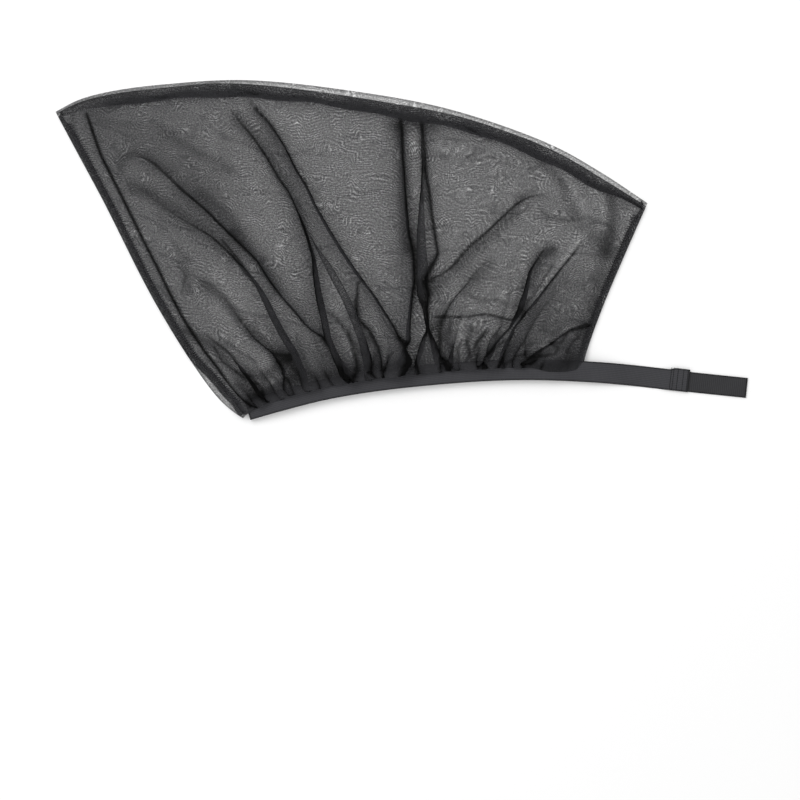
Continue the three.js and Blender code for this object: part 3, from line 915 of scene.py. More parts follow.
CREASES = (
    # left part
    Crease([(133, 186), (150, 194), (166, 206), (185, 219), (205, 231), (219, 243), (232, 257)], 7, 0.9),
    Crease([(120, 160), (135, 152), (153, 163)], 7, 0.35),
    Crease([(182, 190), (204, 208), (222, 226), (240, 243)], 9, 0.5),
    Crease([(200, 192), (222, 208), (240, 230)], 5, 0.7),
    Crease([(233, 233), (250, 252), (267, 274), (277, 291)], 5, 1.0),
    Crease([(203, 283), (222, 297), (239, 319), (256, 336), (272, 349), (286, 358)], 5, 1.0),
    Crease([(186, 330), (214, 347), (233, 369), (250, 388), (262, 400)], 5, 1.0),
    Crease([(245, 372), (262, 378), (275, 368), (284, 360)], 5, 1.1, 0.8 * MM),
    Crease([(236, 385), (252, 396), (270, 392)], 5, 0.9, 0.8 * MM),
    Crease([(277, 355), (284, 368), (290, 376)], 7, 1.2),
    Crease([(214, 273), (226, 290), (236, 305), (247, 312)], 7, -0.3),
    Crease([(216, 303), (235, 330), (262, 352), (280, 377)], 9, -0.25),
    Crease([(184, 262), (187, 280), (190, 292)], 4, 0.5),
    Crease([(163, 133), (183, 144), (201, 155), (219, 162), (232, 170)], 3.5, 0.65, 0.5 * MM),
    Crease([(99, 120), (117, 123), (134, 125), (141, 124)], 3, 0.45),
    Crease([(121, 171), (123, 159), (134, 153), (148, 157), (161, 168), (174, 175)], 3.5, 0.55, 0.4 * MM),
    Crease([(72, 115), (74, 130)], 2.5, 0.5),
    Crease([(86, 116), (99, 113), (117, 106)], 3, 0.4),
    Crease([(214, 170), (230, 172), (243, 178)], 1.2, 0.6),
    Crease([(100, 135), (150, 140), (200, 190)], 28, 0.3),
    # middle
    Crease([(237, 118), (255, 138), (272, 160), (290, 190)], 6, 0.8),
    Crease([(257, 112), (272, 135), (288, 160), (304, 184)], 4, 0.6),
    Crease([(297, 200), (303, 218), (309, 240), (313, 262)], 3, 1.1),
    Crease([(313, 262), (318, 285), (321, 305)], 4.5, 1.7),
    Crease([(400, 126), (402, 160), (404, 190), (405, 220), (406, 250)], 5, 1.5),
    Crease([(422, 126), (424, 150), (425, 175), (426, 200)], 3.5, 1.3),
    Crease([(395, 125), (412, 121), (430, 127)], 8, 0.9),
    Crease([(412, 130), (414, 160), (415, 200)], 3, -0.2),
    Crease([(363, 343), (366, 355), (367, 365)], 5, 1.1),
    Crease([(290, 357), (292, 368), (297, 378)], 5, 1.1),
    Crease([(432, 284), (431, 308), (433, 335), (438, 352)], 4, 1.3),
    Crease([(250, 330), (330, 365), (420, 360)], 14, 0.3),
    Crease([(250, 397), (290, 383), (340, 372), (400, 365)], 6, 0.9),
    # right part
    Crease([(442, 317), (466, 317), (486, 314), (510, 320)], 1.3, 2.6, 0.8 * MM),
    Crease([(455, 270), (470, 252), (488, 238), (505, 221), (520, 207)], 5, 0.6),
    Crease([(517, 203), (523, 196), (532, 193)], 3, 0.8),
    Crease([(489, 264), (478, 274), (466, 286)], 5, 0.8),
    Crease([(438, 292), (441, 282), (446, 276)], 5, 0.7),
    Crease([(463, 293), (480, 300), (494, 300), (516, 306)], 2.5, 0.55, 0.8 * MM),
    Crease([(518, 316), (524, 298), (528, 283), (533, 270), (541, 256), (552, 250)], 5, 1.7),
    Crease([(508, 345), (520, 322), (536, 298), (552, 276), (569, 254), (585, 232)], 4.5, -0.5, 1 * MM),
    Crease([(541, 315), (556, 300), (572, 288), (590, 284)], 15, 0.4),
    Crease([(520, 350), (545, 330), (575, 320), (598, 310)], 13, 0.5),
    Crease([(541, 163), (553, 172), (562, 185), (569, 200), (575, 214)], 5, 0.6),
    Crease([(549, 165), (566, 172), (577, 195), (586, 217)], 4, -0.4, 0.8 * MM),
    Crease([(590, 180), (601, 195), (605, 212), (603, 228)], 4, -0.4, 0.8 * MM),
    Crease([(606, 178), (611, 200), (612, 228), (606, 250)], 6, 0.9),
    Crease([(541, 211), (552, 219), (569, 221), (586, 217), (608, 225), (612, 232)], 2.2, 0.8, 0.5 * MM),
    Crease([(583, 230), (596, 240), (608, 254)], 8, 0.6),
    Crease([(606, 240), (598, 290), (588, 325)], 8, 0.6),
    Crease([(527, 361), (541, 354), (549, 344), (561, 342), (569, 331), (591, 325)], 1.4, 2.2, 1 * MM),
    Crease([(549, 342), (558, 347), (555, 353), (541, 356), (530, 364)], 1.6, 1.8, 1 * MM),
    Crease([(536, 336), (549, 331), (574, 328)], 3.5, -0.45),
    Crease([(566, 352), (577, 346), (587, 334)], 9, 0.9),
    Crease([(528, 364), (556, 365), (584, 358)], 8, 1.3),
    Crease([(540, 360), (550, 357), (562, 352)], 3, -0.8, 0.8 * MM),
    Crease([(451, 322), (447, 339), (455, 361)], 2.2, 1.2, 0.8 * MM),
    Crease([(472, 328), (466, 344), (472, 361)], 2.5, 1.3, 0.8 * MM),
    Crease([(486, 331), (476, 344), (479, 358)], 2.5, 1.3, 0.8 * MM),
    Crease([(458, 328), (463, 344), (461, 361)], 3, -0.6, 1 * MM),
    Crease([(479, 326), (471, 342), (474, 356)], 2, -0.4),
    Crease([(495, 340), (488, 350), (486, 362)], 2.5, -0.6, 1 * MM),
    Crease([(470, 350), (520, 345), (570, 330)], 14, 0.3),
    # sharp lines of the left part
    Crease([(222, 240), (242, 263), (262, 291), (274, 315), (286, 344), (298, 376)], 1.0, 1.8),
    Crease([(233, 257), (247, 276), (258, 292), (268, 312), (279, 333), (290, 357)], 1.0, 1.8),
    Crease([(214, 347), (222, 362), (236, 372)], 1.2, 1.4, 0.6 * MM),
    Crease([(236, 372), (246, 380), (258, 384)], 1.2, 1.6, 0.6 * MM),
    Crease([(250, 375), (262, 388), (266, 400)], 1.2, 1.6, 0.6 * MM),
    Crease([(225, 340), (240, 352), (256, 362)], 1.4, 0.8, 0.6 * MM),
    Crease([(262, 372), (270, 382), (276, 392)], 1.2, 1.4, 0.6 * MM),
    Crease([(276, 354), (286, 356), (291, 352)], 1.2, 1.6, 0.6 * MM),
    Crease([(178, 262), (186, 276), (182, 292)], 1.6, 0.8, 0.4 * MM),
    Crease([(172, 240), (180, 252), (192, 262)], 2.0, 0.5, 0.4 * MM),
    Crease([(297, 335), (305, 355), (313, 372)], 1.5, 0.8, 0.6 * MM),
    Crease([(315, 342), (322, 358), (330, 378)], 1.8, 0.8, 0.6 * MM),
    # sharp lines above the band
    Crease([(365, 352), (368, 366), (376, 377)], 1.2, 1.5, 0.6 * MM),
    Crease([(382, 374), (387, 363), (393, 352)], 1.2, 1.2, 0.6 * MM),
    Crease([(434, 330), (437, 345), (445, 358), (452, 366)], 1.2, 1.6, 0.8 * MM),
    Crease([(460, 360), (457, 350), (462, 340)], 1.1, 1.4, 0.6 * MM),
    Crease([(466, 362), (470, 352), (466, 340)], 1.2, 1.5, 0.6 * MM),
    Crease([(478, 362), (473, 352), (476, 343), (485, 332)], 1.2, 1.8, 0.8 * MM),
    Crease([(490, 356), (500, 344), (512, 334)], 1.2, 1.6, 0.8 * MM),
    Crease([(497, 362), (503, 352), (509, 345)], 1.2, 1.6, 0.8 * MM),
    Crease([(505, 366), (515, 357), (528, 352)], 1.4, 1.4, 0.6 * MM),
    # sharp lines of the right part
    Crease([(522, 317), (530, 300), (541, 283), (552, 266)], 1.2, 1.6),
    Crease([(541, 330), (552, 333), (560, 328)], 1.2, 1.0, 0.6 * MM),
    Crease([(566, 352), (572, 342), (580, 336)], 1.2, 1.2, 0.6 * MM),
    Crease([(556, 345), (563, 338), (572, 335)], 1.8, -0.8, 0.8 * MM),
    Crease([(530, 350), (541, 346), (548, 338)], 2.0, -0.7, 0.8 * MM),
)


@dataclass(frozen=True)
class Gather:
    """One tuck of the front panel at its band."""

    column: float
    lean: float
    bend: float
    overlap: float
    reach: float
    top: Side


@dataclass
class Relief:
    """What folds and gathers bring to each vertex of the front panel.

    move is sideways and rise upwards, in metres; the rest is for the finish.
    """

    move: np.ndarray
    rise: np.ndarray
    crowding: np.ndarray
    gloom: np.ndarray
    slip: np.ndarray


@dataclass
class MeshPanels:
    """The two sheer panels of the sock. The front one is gathered onto its band."""

    GUIDE_SAMPLES = 401
    GUIDE_WINDOW = 17

    plan: ShadePlan
    finish: StretchMesh
    front_columns: int = 464
    front_rows: int = 212
    rear_columns: int = 240
    rear_rows: int = 110
    row_crowding: float = 1.3
    column_crowding: float = 0.5
    gathers: int = 44
    gather_seed: int = 7
    cross_wrinkles: int = 90
    wrinkle_seed: int = 11
    edge_fade: float = 9 * MM
    fold_turn: float = 3.0
    fold_turn_at: float = 0.529
    fold_span: float = 1.354
    least_overlap: float = 1.6 * MM
    crease_width: float = 0.65 * MM
    least_line: float = 1.5 * MM
    line_gain: float = 1.6
    shadow_gain: float = 1.7
    fold_lightness: float = 0.35
    line_gloom: float = 0.45
    crease_gloom: float = 0.35
    fold_slip: float = 5.0
    slip_width: float = 16 * MM
    tuck_height: float = 1.0 * MM
    tuck_height_gain: float = 0.45
    tuck_left_line: float = 2.4
    tuck_right_line: float = 1.2
    tuck_left_gloom: float = 0.9
    tuck_right_gloom: float = 0.4
    valley_shade: float = 0.7
    valley_gloom: float = 0.08
    valley_at: float = -2.6 * MM
    valley_width: float = 3.0 * MM
    crest_lightness: float = 0.95
    crest_at: float = 3.0 * MM
    crest_width: float = 3.4 * MM
    tuck_bend_length: float = 9 * MM
    calmed: float = 0.85
    calm_from: float = 0.85
    calm_ramp: float = 0.06
    mouth_crowding: float = 2.5
    mouth_reach: float = 16 * MM
    left_crowding: float = 0.28
    left_from: float = 160 * MM
    left_ramp: float = 120 * MM
    swirl_least: float = 5.0
    swirl_most: float = 15.0
    swirl_left: float = 200 * MM
    swirl_left_ramp: float = 140 * MM
    swirl_right: float = 550 * MM
    swirl_right_ramp: float = 100 * MM
    swirl_right_share: float = 0.7
    hem_shadow: float = 0.55
    hem_shadow_width: float = 7 * MM
    scallop: float = 1.5 * MM
    scallop_reach: float = 7 * MM
    corner_radius: float = 16 * MM
    droop: float = 4.5 * MM
    droop_from_corner: float = 30 * MM
    droop_width: float = 26 * MM
    droop_reach: float = 14 * MM
    edge_line: float = 0.9 * MM
    roll_reach: float = 18 * MM
    corner_rounding: float = 0.29
    scallop_share: float = 0.7
    crumple_crowding: float = 0.35
    crumples_to: float = 0.34
    crumple_width: float = 7 * MM

    def guide(self, pleat: Pleat) -> np.ndarray:
        """Turns a fold's stations into even, smoothed tracks.

        Args:
            pleat: The fold.

        Returns:
            Rows of heights v, shares u, overlaps and strengths.
        """
        rows = np.array(pleat.stations, dtype=float)
        shares = self.plan.shares_of(self.plan.from_photo(rows[:, :2]))
        order = np.argsort(shares[:, 1])
        heights = np.linspace(0, 1, self.GUIDE_SAMPLES)
        window = np.hanning(self.GUIDE_WINDOW)
        tracks = []
        for values in (shares[:, 0], rows[:, 2] * MM_PER_PIXEL * MM, rows[:, 3]):
            track = np.interp(heights, shares[order, 1], values[order])
            padded = np.pad(track, self.GUIDE_WINDOW // 2, mode="edge")
            tracks.append(np.convolve(padded, window / window.sum(), mode="valid"))
        inside = (heights >= shares[:, 1].min() - 0.02) & (heights <= shares[:, 1].max())
        return np.vstack([heights, tracks[0], tracks[1], tracks[2] * inside])

    def fan(self, column: np.ndarray, v: np.ndarray, guides: dict[str, np.ndarray]) -> np.ndarray:
        """Spreads the grid's columns along the leading folds.

        Args:
            column: Shares across the grid.
            v: Shares up the sheet.
            guides: Each fold's track by its name.

        Returns:
            Shares u across the sheet.
        """
        leading = [pleat for pleat in PLEATS if pleat.column is not None]
        knots = np.array([0.0] + [pleat.column for pleat in leading] + [1.0])
        spans = [np.zeros_like(v)]
        spans += [np.interp(v, guides[pleat.name][0], guides[pleat.name][1]) for pleat in leading]
        spans = np.maximum.accumulate(np.array(spans + [np.ones_like(v)]), axis=0)
        span = np.clip(np.searchsorted(knots, column, side="right") - 1, 0, len(knots) - 2)
        place = np.arange(len(v))
        share = (column - knots[span]) / (knots[span + 1] - knots[span])
        share = share - self.column_crowding * np.sin(2 * math.pi * share) / (2 * math.pi)
        return mixed(spans[span, place], spans[span + 1, place], share)

    def tucks(self) -> list[Gather]:
        """Draws the gathers at the band, uneven as hand-fed cloth is.

        Returns:
            The gathers, from left to right.
        """
        chance = np.random.default_rng(self.gather_seed)
        return [
            Gather(
                column=(index + 0.5 + chance.uniform(-0.4, 0.4)) / self.gathers,
                lean=chance.normal(0, 0.12),
                bend=chance.normal(0, 1.3) * MM,
                overlap=chance.uniform(1.6, 5.5) * MM,
                reach=chance.gamma(2.2, 13.0) * MM + 11 * MM,
                top=Side.LEFT if chance.random() < 0.5 else Side.RIGHT,
            )
            for index in range(self.gathers)
        ]

    def folded(
        self, across: np.ndarray, overlap: np.ndarray, top: Side, strength: np.ndarray,
    ) -> tuple[np.ndarray, np.ndarray, np.ndarray, np.ndarray]:
        """Lays a fold over itself.

        Args:
            across: Distances from the fold's middle, in flat cloth.
            overlap: Width that is three layers deep at full strength.
            top: The edge that lies on top.
            strength: Share of the full fold.

        Returns:
            The sideways move, the share of the fold's height, and 1 along its right and its left
            edge.
        """
        span = np.maximum(overlap, self.least_overlap) / self.fold_span
        signed = across * top.value
        turn = np.minimum(self.fold_turn, 0.9 + 2.1 * overlap / self.least_overlap) * strength
        move = -turn * across * bell(across, span)
        rise = smooth((signed / span + 1) / 2) * np.exp(-np.maximum(signed - span, 0) / (3 * span))
        edge = self.fold_turn_at * span
        line = np.maximum(np.sqrt(self.crease_width * span), self.least_line)
        right, left = (bell(across - side * edge, line) * strength for side in (1, -1))
        return move, rise * strength, right, left

    def wrinkles(self) -> list[Crease]:
        """Draws the fine cross wrinkles, mostly level, that lie all over.

        Returns:
            The wrinkles.
        """
        chance = np.random.default_rng(self.wrinkle_seed)
        made = []
        for _ in range(self.cross_wrinkles):
            x, y = chance.uniform(100, 600), chance.uniform(120, 345)
            turn = math.radians(chance.normal(-6, 14) + (40 if x < 290 else 0))
            half, bow = chance.uniform(8, 26), chance.normal(0, 2.5)
            path = [
                (x + step * half * math.cos(turn) - bow * step * step * math.sin(turn),
                 y + step * half * math.sin(turn) + bow * step * step * math.cos(turn))
                for step in (-1, -0.5, 0, 0.5, 1)
            ]
            made.append(Crease(path, chance.uniform(0.7, 1.4), chance.uniform(0.2, 0.9), 0.3 * MM))
        return made

    def lines(self, flat: np.ndarray, creases: Sequence[Crease]) -> tuple[np.ndarray, np.ndarray]:
        """Sums what creases bring at points of the plan.

        Args:
            flat: Rows of x and y.
            creases: The creases.

        Returns:
            The crowding and the height at each point.
        """
        crowding, height = np.zeros(len(flat)), np.zeros(len(flat))
        for crease in creases:
            points = self.plan.from_photo(crease.path)
            nearest = np.full(len(flat), np.inf)
            for start, end in zip(points[:-1], points[1:]):
                span = end - start
                share = np.clip((flat - start) @ span / (span @ span), 0, 1)
                nearest = np.minimum(nearest, np.linalg.norm(flat - start - share[:, None] * span, axis=1))
            near = bell(nearest, crease.half_width * MM_PER_PIXEL * MM)
            crowding += crease.crowding * near
            height += crease.height * near
        return crowding, height

    def corner_moves(self, column: np.ndarray, u: np.ndarray, v: np.ndarray) -> np.ndarray:
        """Scallops the margin, rounds its lower right corner and lets the lobe beside it droop.

        Args:
            column: Shares across the grid.
            u: Shares across the sheet.
            v: Shares up the sheet.

        Returns:
            Moves as rows of x and y.
        """
        plan = self.plan
        length, width = plan.column_length(u), plan.row_width(v)
        up = plan.band_line.normal(u * plan.mouth_width / plan.band_line.length)
        phase = math.pi * column * self.gathers * self.scallop_share + 2 * np.sin(23 * column)
        wave = np.abs(np.sin(phase)) - 0.5
        inwards = self.scallop * wave * np.exp(-v * length / self.scallop_reach)
        from_right = np.clip(1 - (1 - u) * width / self.corner_radius, 0, 1)
        from_mouth = np.clip(1 - v * length / self.corner_radius, 0, 1)
        rounding = self.corner_rounding * self.corner_radius * (from_right * from_mouth) ** 1.5
        lobe = bell((1 - u) * width - self.droop_from_corner, self.droop_width)
        droop = self.droop * lobe * np.exp(-v * length / self.droop_reach)
        across = np.stack([up[:, 1], -up[:, 0]], -1)
        return up * (inwards + rounding - droop)[:, None] - across * rounding[:, None]

    def lay_folds(
        self, relief: Relief, u: np.ndarray, v: np.ndarray, guides: dict[str, np.ndarray],
    ) -> None:
        """Adds the long folds to the relief.

        Args:
            relief: What the vertices have so far.
            u: Shares across the sheet.
            v: Shares up the sheet.
            guides: Each fold's track by its name.
        """
        width = self.plan.row_width(v)
        pixel = MM_PER_PIXEL * MM
        for pleat in PLEATS:
            heights, across, overlaps, strengths = guides[pleat.name]
            overlap, strength = np.interp(v, heights, overlaps), np.interp(v, heights, strengths)
            distance = (u - np.interp(v, heights, across)) * width
            shift, lift, right, left = self.folded(distance, overlap, pleat.top, strength)
            relief.move += shift
            relief.rise += pleat.height * lift
            lines = self.line_gain * (pleat.left_line * left + pleat.right_line * right)
            # Painted shadow beside the fold, and a painted lighter band over its folded part, as more and
            # fewer layers of thread.
            outside = np.maximum(np.abs(distance) - overlap / 2, 0)
            beside = np.where(
                distance > 0,
                pleat.right_shadow * np.exp(-outside / (pleat.right_fade * pixel)),
                pleat.left_shadow * np.exp(-outside / (pleat.left_fade * pixel)),
            )
            inside = smooth((overlap - 2 * pixel) / (4 * pixel)) * bell(distance, 0.8 * overlap + pixel)
            shade = (self.shadow_gain * beside - self.fold_lightness * inside) * strength
            relief.crowding += lines + shade
            relief.gloom += self.line_gloom * lines
            relief.slip += self.fold_slip * strength * np.tanh(distance / self.slip_width)

    def lay_tucks(
        self, relief: Relief, u: np.ndarray, v: np.ndarray, guides: dict[str, np.ndarray],
    ) -> None:
        """Adds the gathers at the band to the relief.

        Args:
            relief: What the vertices have so far.
            u: Shares across the sheet.
            v: Shares up the sheet.
            guides: Each fold's track by its name.
        """
        width, reach = self.plan.row_width(v), v * self.plan.column_length(u)
        # The lower right corner is a smooth lobe that hangs over the strap.
        calm = 1 - self.calmed * smooth((u - self.calm_from) / self.calm_ramp)
        for tuck in self.tucks():
            strength = np.exp(-((reach / tuck.reach) ** 1.5)) * calm
            crest = self.fan(np.full_like(v, tuck.column), v, guides)
            bend = tuck.bend * np.sin(reach / self.tuck_bend_length)
            distance = (u - crest) * width - tuck.lean * reach - bend
            overlap = np.full_like(v, tuck.overlap)
            shift, lift, right, left = self.folded(distance, overlap, tuck.top, strength)
            relief.move += shift
            relief.rise += (self.tuck_height + self.tuck_height_gain * tuck.overlap) * lift
            signed = distance * tuck.top.value
            # Painted shade in the valley beside each gather and a painted highlight on its crest, as more and
            # fewer layers of thread; gloom darkens the valley's colour as painted shade.
            valley = strength * bell(signed - self.valley_at, self.valley_width)
            bright = strength * bell(signed - self.crest_at, self.crest_width)
            relief.crowding += self.tuck_left_line * left + self.tuck_right_line * right
            relief.crowding += self.valley_shade * valley - self.crest_lightness * bright
            relief.gloom += self.tuck_left_gloom * left + self.tuck_right_gloom * right
            relief.gloom += self.valley_gloom * valley
            relief.slip += strength * np.tanh(distance / self.slip_width)

    def place_front(self, column: np.ndarray, row: np.ndarray) -> dict:
        """Places the front panel's vertices, with its folds and gathers.

        Args:
            column: Shares across the grid.
            row: Shares up the grid.

        Returns:
            The vertices' places, their places on flat cloth, and the values for the finish.
        """
        plan = self.plan
        guides = {pleat.name: self.guide(pleat) for pleat in PLEATS}
        v = row ** self.row_crowding
        u = self.fan(column, v, guides)
        v = v * (1 - plan.peek_at(u) / plan.column_length(u))
        base = plan.on_sheet(u, v)
        step = 0.002
        rightwards = plan.on_sheet(u + step, v) - plan.on_sheet(u - step, v)
        rightwards = rightwards / np.linalg.norm(rightwards, axis=1, keepdims=True)
        width, length = plan.row_width(v), plan.column_length(u)
        from_top = (1 - v) * length - plan.peek_at(u)
        fade = smooth(np.minimum(u, 1 - u) * width / self.edge_fade) * smooth(from_top / self.edge_fade)
        relief = Relief(*(np.zeros_like(u) for _ in range(5)))
        self.lay_folds(relief, u, v, guides)
        self.lay_tucks(relief, u, v, guides)
        line_crowding, line_height = self.lines(base, CREASES)
        fine_crowding, fine_height = self.lines(base, self.wrinkles())
        mouth = self.mouth_crowding * np.exp(-((v * length / self.mouth_reach) ** 1.5))
        leftmost = 1 - smooth((base[:, 0] - self.left_from) / self.left_ramp)
        crowding = relief.crowding + line_crowding + fine_crowding + mouth + self.left_crowding * leftmost
        under_hem = np.exp(-np.maximum(from_top - plan.top_hem_width(u), 0) / self.hem_shadow_width)
        crowding = crowding * fade + self.hem_shadow * under_hem * smooth(from_top / plan.top_seam_width)
        crowding += 0.9 * bell(from_top, self.edge_line)
        # gloom: painted shade that darkens the thread's colour along fold lines and creases.
        gloom = np.clip((relief.gloom + self.crease_gloom * line_crowding) * fade, 0, 1)
        rolled = plan.rolled_in(v) * np.exp(-u * width / self.roll_reach)
        sideways = rightwards * (relief.move * fade + rolled)[:, None]
        z = plan.front_bottom(u, v) + (relief.rise + line_height + fine_height) * fade
        left = 1 - smooth((base[:, 0] - self.swirl_left) / self.swirl_left_ramp)
        right = self.swirl_right_share * smooth((base[:, 0] - self.swirl_right) / self.swirl_right_ramp)
        return {
            "co": plan.placed(base + sideways + self.corner_moves(column, u, v), z), "uv": base,
            "crowding": crowding, "gloom": gloom, "slip": relief.slip,
            "swirl": mixed(self.swirl_least, self.swirl_most, np.maximum(left, right)),
        }

    def place_rear(self, u: np.ndarray, row: np.ndarray) -> dict:
        """Places the rear panel's vertices. Its rolled top edge is stretched thin.

        Args:
            u: Shares across the sheet.
            row: Shares up the grid.

        Returns:
            The vertices' places, their places on flat cloth, and the values for the finish.
        """
        plan = self.plan
        v = row ** self.row_crowding
        flat = plan.on_sheet(u, v)
        length = plan.column_length(u)
        from_top = (1 - v) * length
        strip = 1 - smooth((from_top - plan.peek_at(u) + 1 * MM) / (2 * MM))
        crowding = -0.2 * strip + 1.0 * bell(from_top, 0.8 * MM)
        # The lower left edge peeks out too, crumpled, with its rolled edge showing as a line.
        from_left = u * plan.row_width(v)
        reach = length * v
        waves = np.sin(reach / (3.1 * MM)) * np.sin(reach / (7.3 * MM) + from_left / MM)
        crumples = self.crumple_crowding * waves
        shown = smooth((self.crumples_to - v) / 0.1) * bell(from_left, self.crumple_width)
        crowding = crowding + (1.3 * bell(from_left, self.edge_line) + 0.25 + crumples) * shown
        z = plan.rear_bottom(u, v) + 0.5 * plan.mesh_thickness
        return {
            "co": plan.placed(flat, z), "uv": flat * 1.02 + 0.5, "crowding": crowding,
            "gloom": np.zeros_like(u), "slip": np.zeros_like(u),
            "swirl": np.full_like(u, self.swirl_most),
        }

    def build(self) -> list[bpy.types.Object]:
        """Makes both panels and dresses them.

        Returns:
            The front and the rear panel.
        """
        finish = self.finish.material()
        front = net("front_panel", self.front_columns, self.front_rows, self.place_front)
        dress(front, finish, ["front_mesh_panel"])
        rear = net("rear_panel", self.rear_columns, self.rear_rows, self.place_rear, facing_down=True)
        dress(rear, finish, ["rear_mesh_panel"])
        return [front, rear]


# The hems


@dataclass
class Hems:
    """Seam allowances of both panels, turned in and lying between them as folded strips."""

    plan: ShadePlan
    finish: StretchMesh
    columns: int = 300
    profile_steps: int = 12
    strip_thickness: float = 0.9 * MM
    tip_inset: float = 7 * MM
    tip_share: float = 0.45
    tip_taper: float = 40 * MM
    ripple: float = 0.25 * MM
    over_side_hems: float = 1.0 * MM
    swirl: float = 6.0

    def _strip(self, name: str, edge: Callable, crowding: Callable, node: str) -> bpy.types.Object:
        """Rolls a strip of cloth into a flat closed fold.

        Args:
            name: The piece's name.
            edge: Gives plan points and underside heights for shares along and across.
            crowding: Gives the extra layers for shares along and across.
            node: The CAD node that it stands for.

        Returns:
            The piece.
        """
        def place(along: np.ndarray, ring: np.ndarray) -> dict:
            """Places the strip's vertices round its flat section.

            Args:
                along: Shares along the strip.
                ring: Shares round its section.

            Returns:
                The vertices' places, their places on flat cloth, and the values for the finish.
            """
            sine = np.sin(ring * 2 * math.pi)
            across = 0.5 - 0.5 * np.cos(ring * 2 * math.pi)
            up = 0.5 - 0.5 * np.sign(sine) * np.abs(sine) ** 0.5
            flat, bottom = edge(along, across)
            ripple = self.ripple * (1 + np.sin(along * 61 + 3 * across) * np.sin(along * 23 + 1))
            thread = crowding(along, across)
            # gloom: painted shade that darkens the hem's colour where it is packed.
            return {
                "co": self.plan.placed(flat, bottom + up * self.strip_thickness + ripple), "uv": flat,
                "crowding": thread, "gloom": np.clip(0.45 * thread, 0, 1), "slip": 3 * across,
                "swirl": np.full_like(along, self.swirl),
            }
        piece = net(name, self.columns, 2 * self.profile_steps, place)
        close_ends(piece)
        return dress(piece, self.finish.material(), [node])

    def top_edge(self, along: np.ndarray, across: np.ndarray) -> tuple[np.ndarray, np.ndarray]:
        """Places the top hem, which lies on the side hems' ends.

        Args:
            along: Shares along the hem.
            across: Shares across the hem.

        Returns:
            Plan points and heights of its underside.
        """
        plan = self.plan
        inset = plan.seam_end_inset / plan.top_line.length
        u = mixed(inset, 1 - inset, along)
        uneven = 1 + 0.12 * np.sin(u * 41) * np.sin(u * 17 + 1)
        from_edge = plan.peek_at(u) + (1 - across) * plan.top_hem_width(u) * uneven
        v = 1 - from_edge / plan.column_length(u)
        on_rear = plan.rear_bottom(u, v) + plan.mesh_thickness + plan.gap
        return plan.on_sheet(u, v), on_rear + self.over_side_hems

    @staticmethod
    def top_crowding(along: np.ndarray, across: np.ndarray) -> np.ndarray:
        """Gives the top hem its layers: packed below, few at the left tip.

        Args:
            along: Shares along the hem.
            across: Shares across the hem.

        Returns:
            Extra layers of thread.
        """
        body = mixed(1.7, -0.1, smooth((across - 0.1) / 0.6)) + 0.8 * bell(across - 1, 0.08)
        body = body - 1.2 * bell(across, 0.09)
        present = smooth((along - 0.035) / 0.1)
        uneven = 0.35 * np.sin(along * 47) * np.sin(along * 19 + 2)
        return mixed(-0.4 + 1.2 * bell(across - 0.9, 0.12), body + uneven, present)

    @staticmethod
    def side_crowding(along: np.ndarray, across: np.ndarray) -> np.ndarray:
        """Returns the side hems' extra layers: packed at both edges."""
        return 0.1 + 0.7 * bell(across, 0.12) + 0.7 * bell(across - 1, 0.12)

    def side_edge(self, left: bool) -> Callable:
        """Prepares the placing of a side hem.

        Args:
            left: Whether it is the left hem.

        Returns:
            A function of the shares along and across the hem.
        """
        plan = self.plan

        def edge(along: np.ndarray, across: np.ndarray) -> tuple[np.ndarray, np.ndarray]:
            """Places the side hem.

            Args:
                along: Shares along the hem.
                across: Shares across the hem.

            Returns:
                Plan points and heights of its underside.
            """
            length = float(plan.column_length(np.array(0.0 if left else 1.0)))
            v = mixed(plan.seam_end_inset, length - self.tip_inset, along) / length
            taper = mixed(self.tip_share, 1.0, smooth((1 - v) * length / self.tip_taper))
            share = plan.side_seam_width * taper / plan.row_width(v)
            rolled = plan.rolled_in(v) / plan.row_width(v)
            u = rolled + across * share if left else 1 - (1 - across) * share
            return plan.on_sheet(u, v), plan.seam_bottom(u, v)
        return edge

    def build(self) -> list[bpy.types.Object]:
        """Makes the three hems.

        Returns:
            The top, left and right hem.
        """
        return [
            self._strip("top_hem", self.top_edge, self.top_crowding, "top_seam"),
            self._strip("left_hem", self.side_edge(True), self.side_crowding, "left_side_seam"),
            self._strip("right_hem", self.side_edge(False), self.side_crowding, "right_side_seam"),
        ]


# Sewing


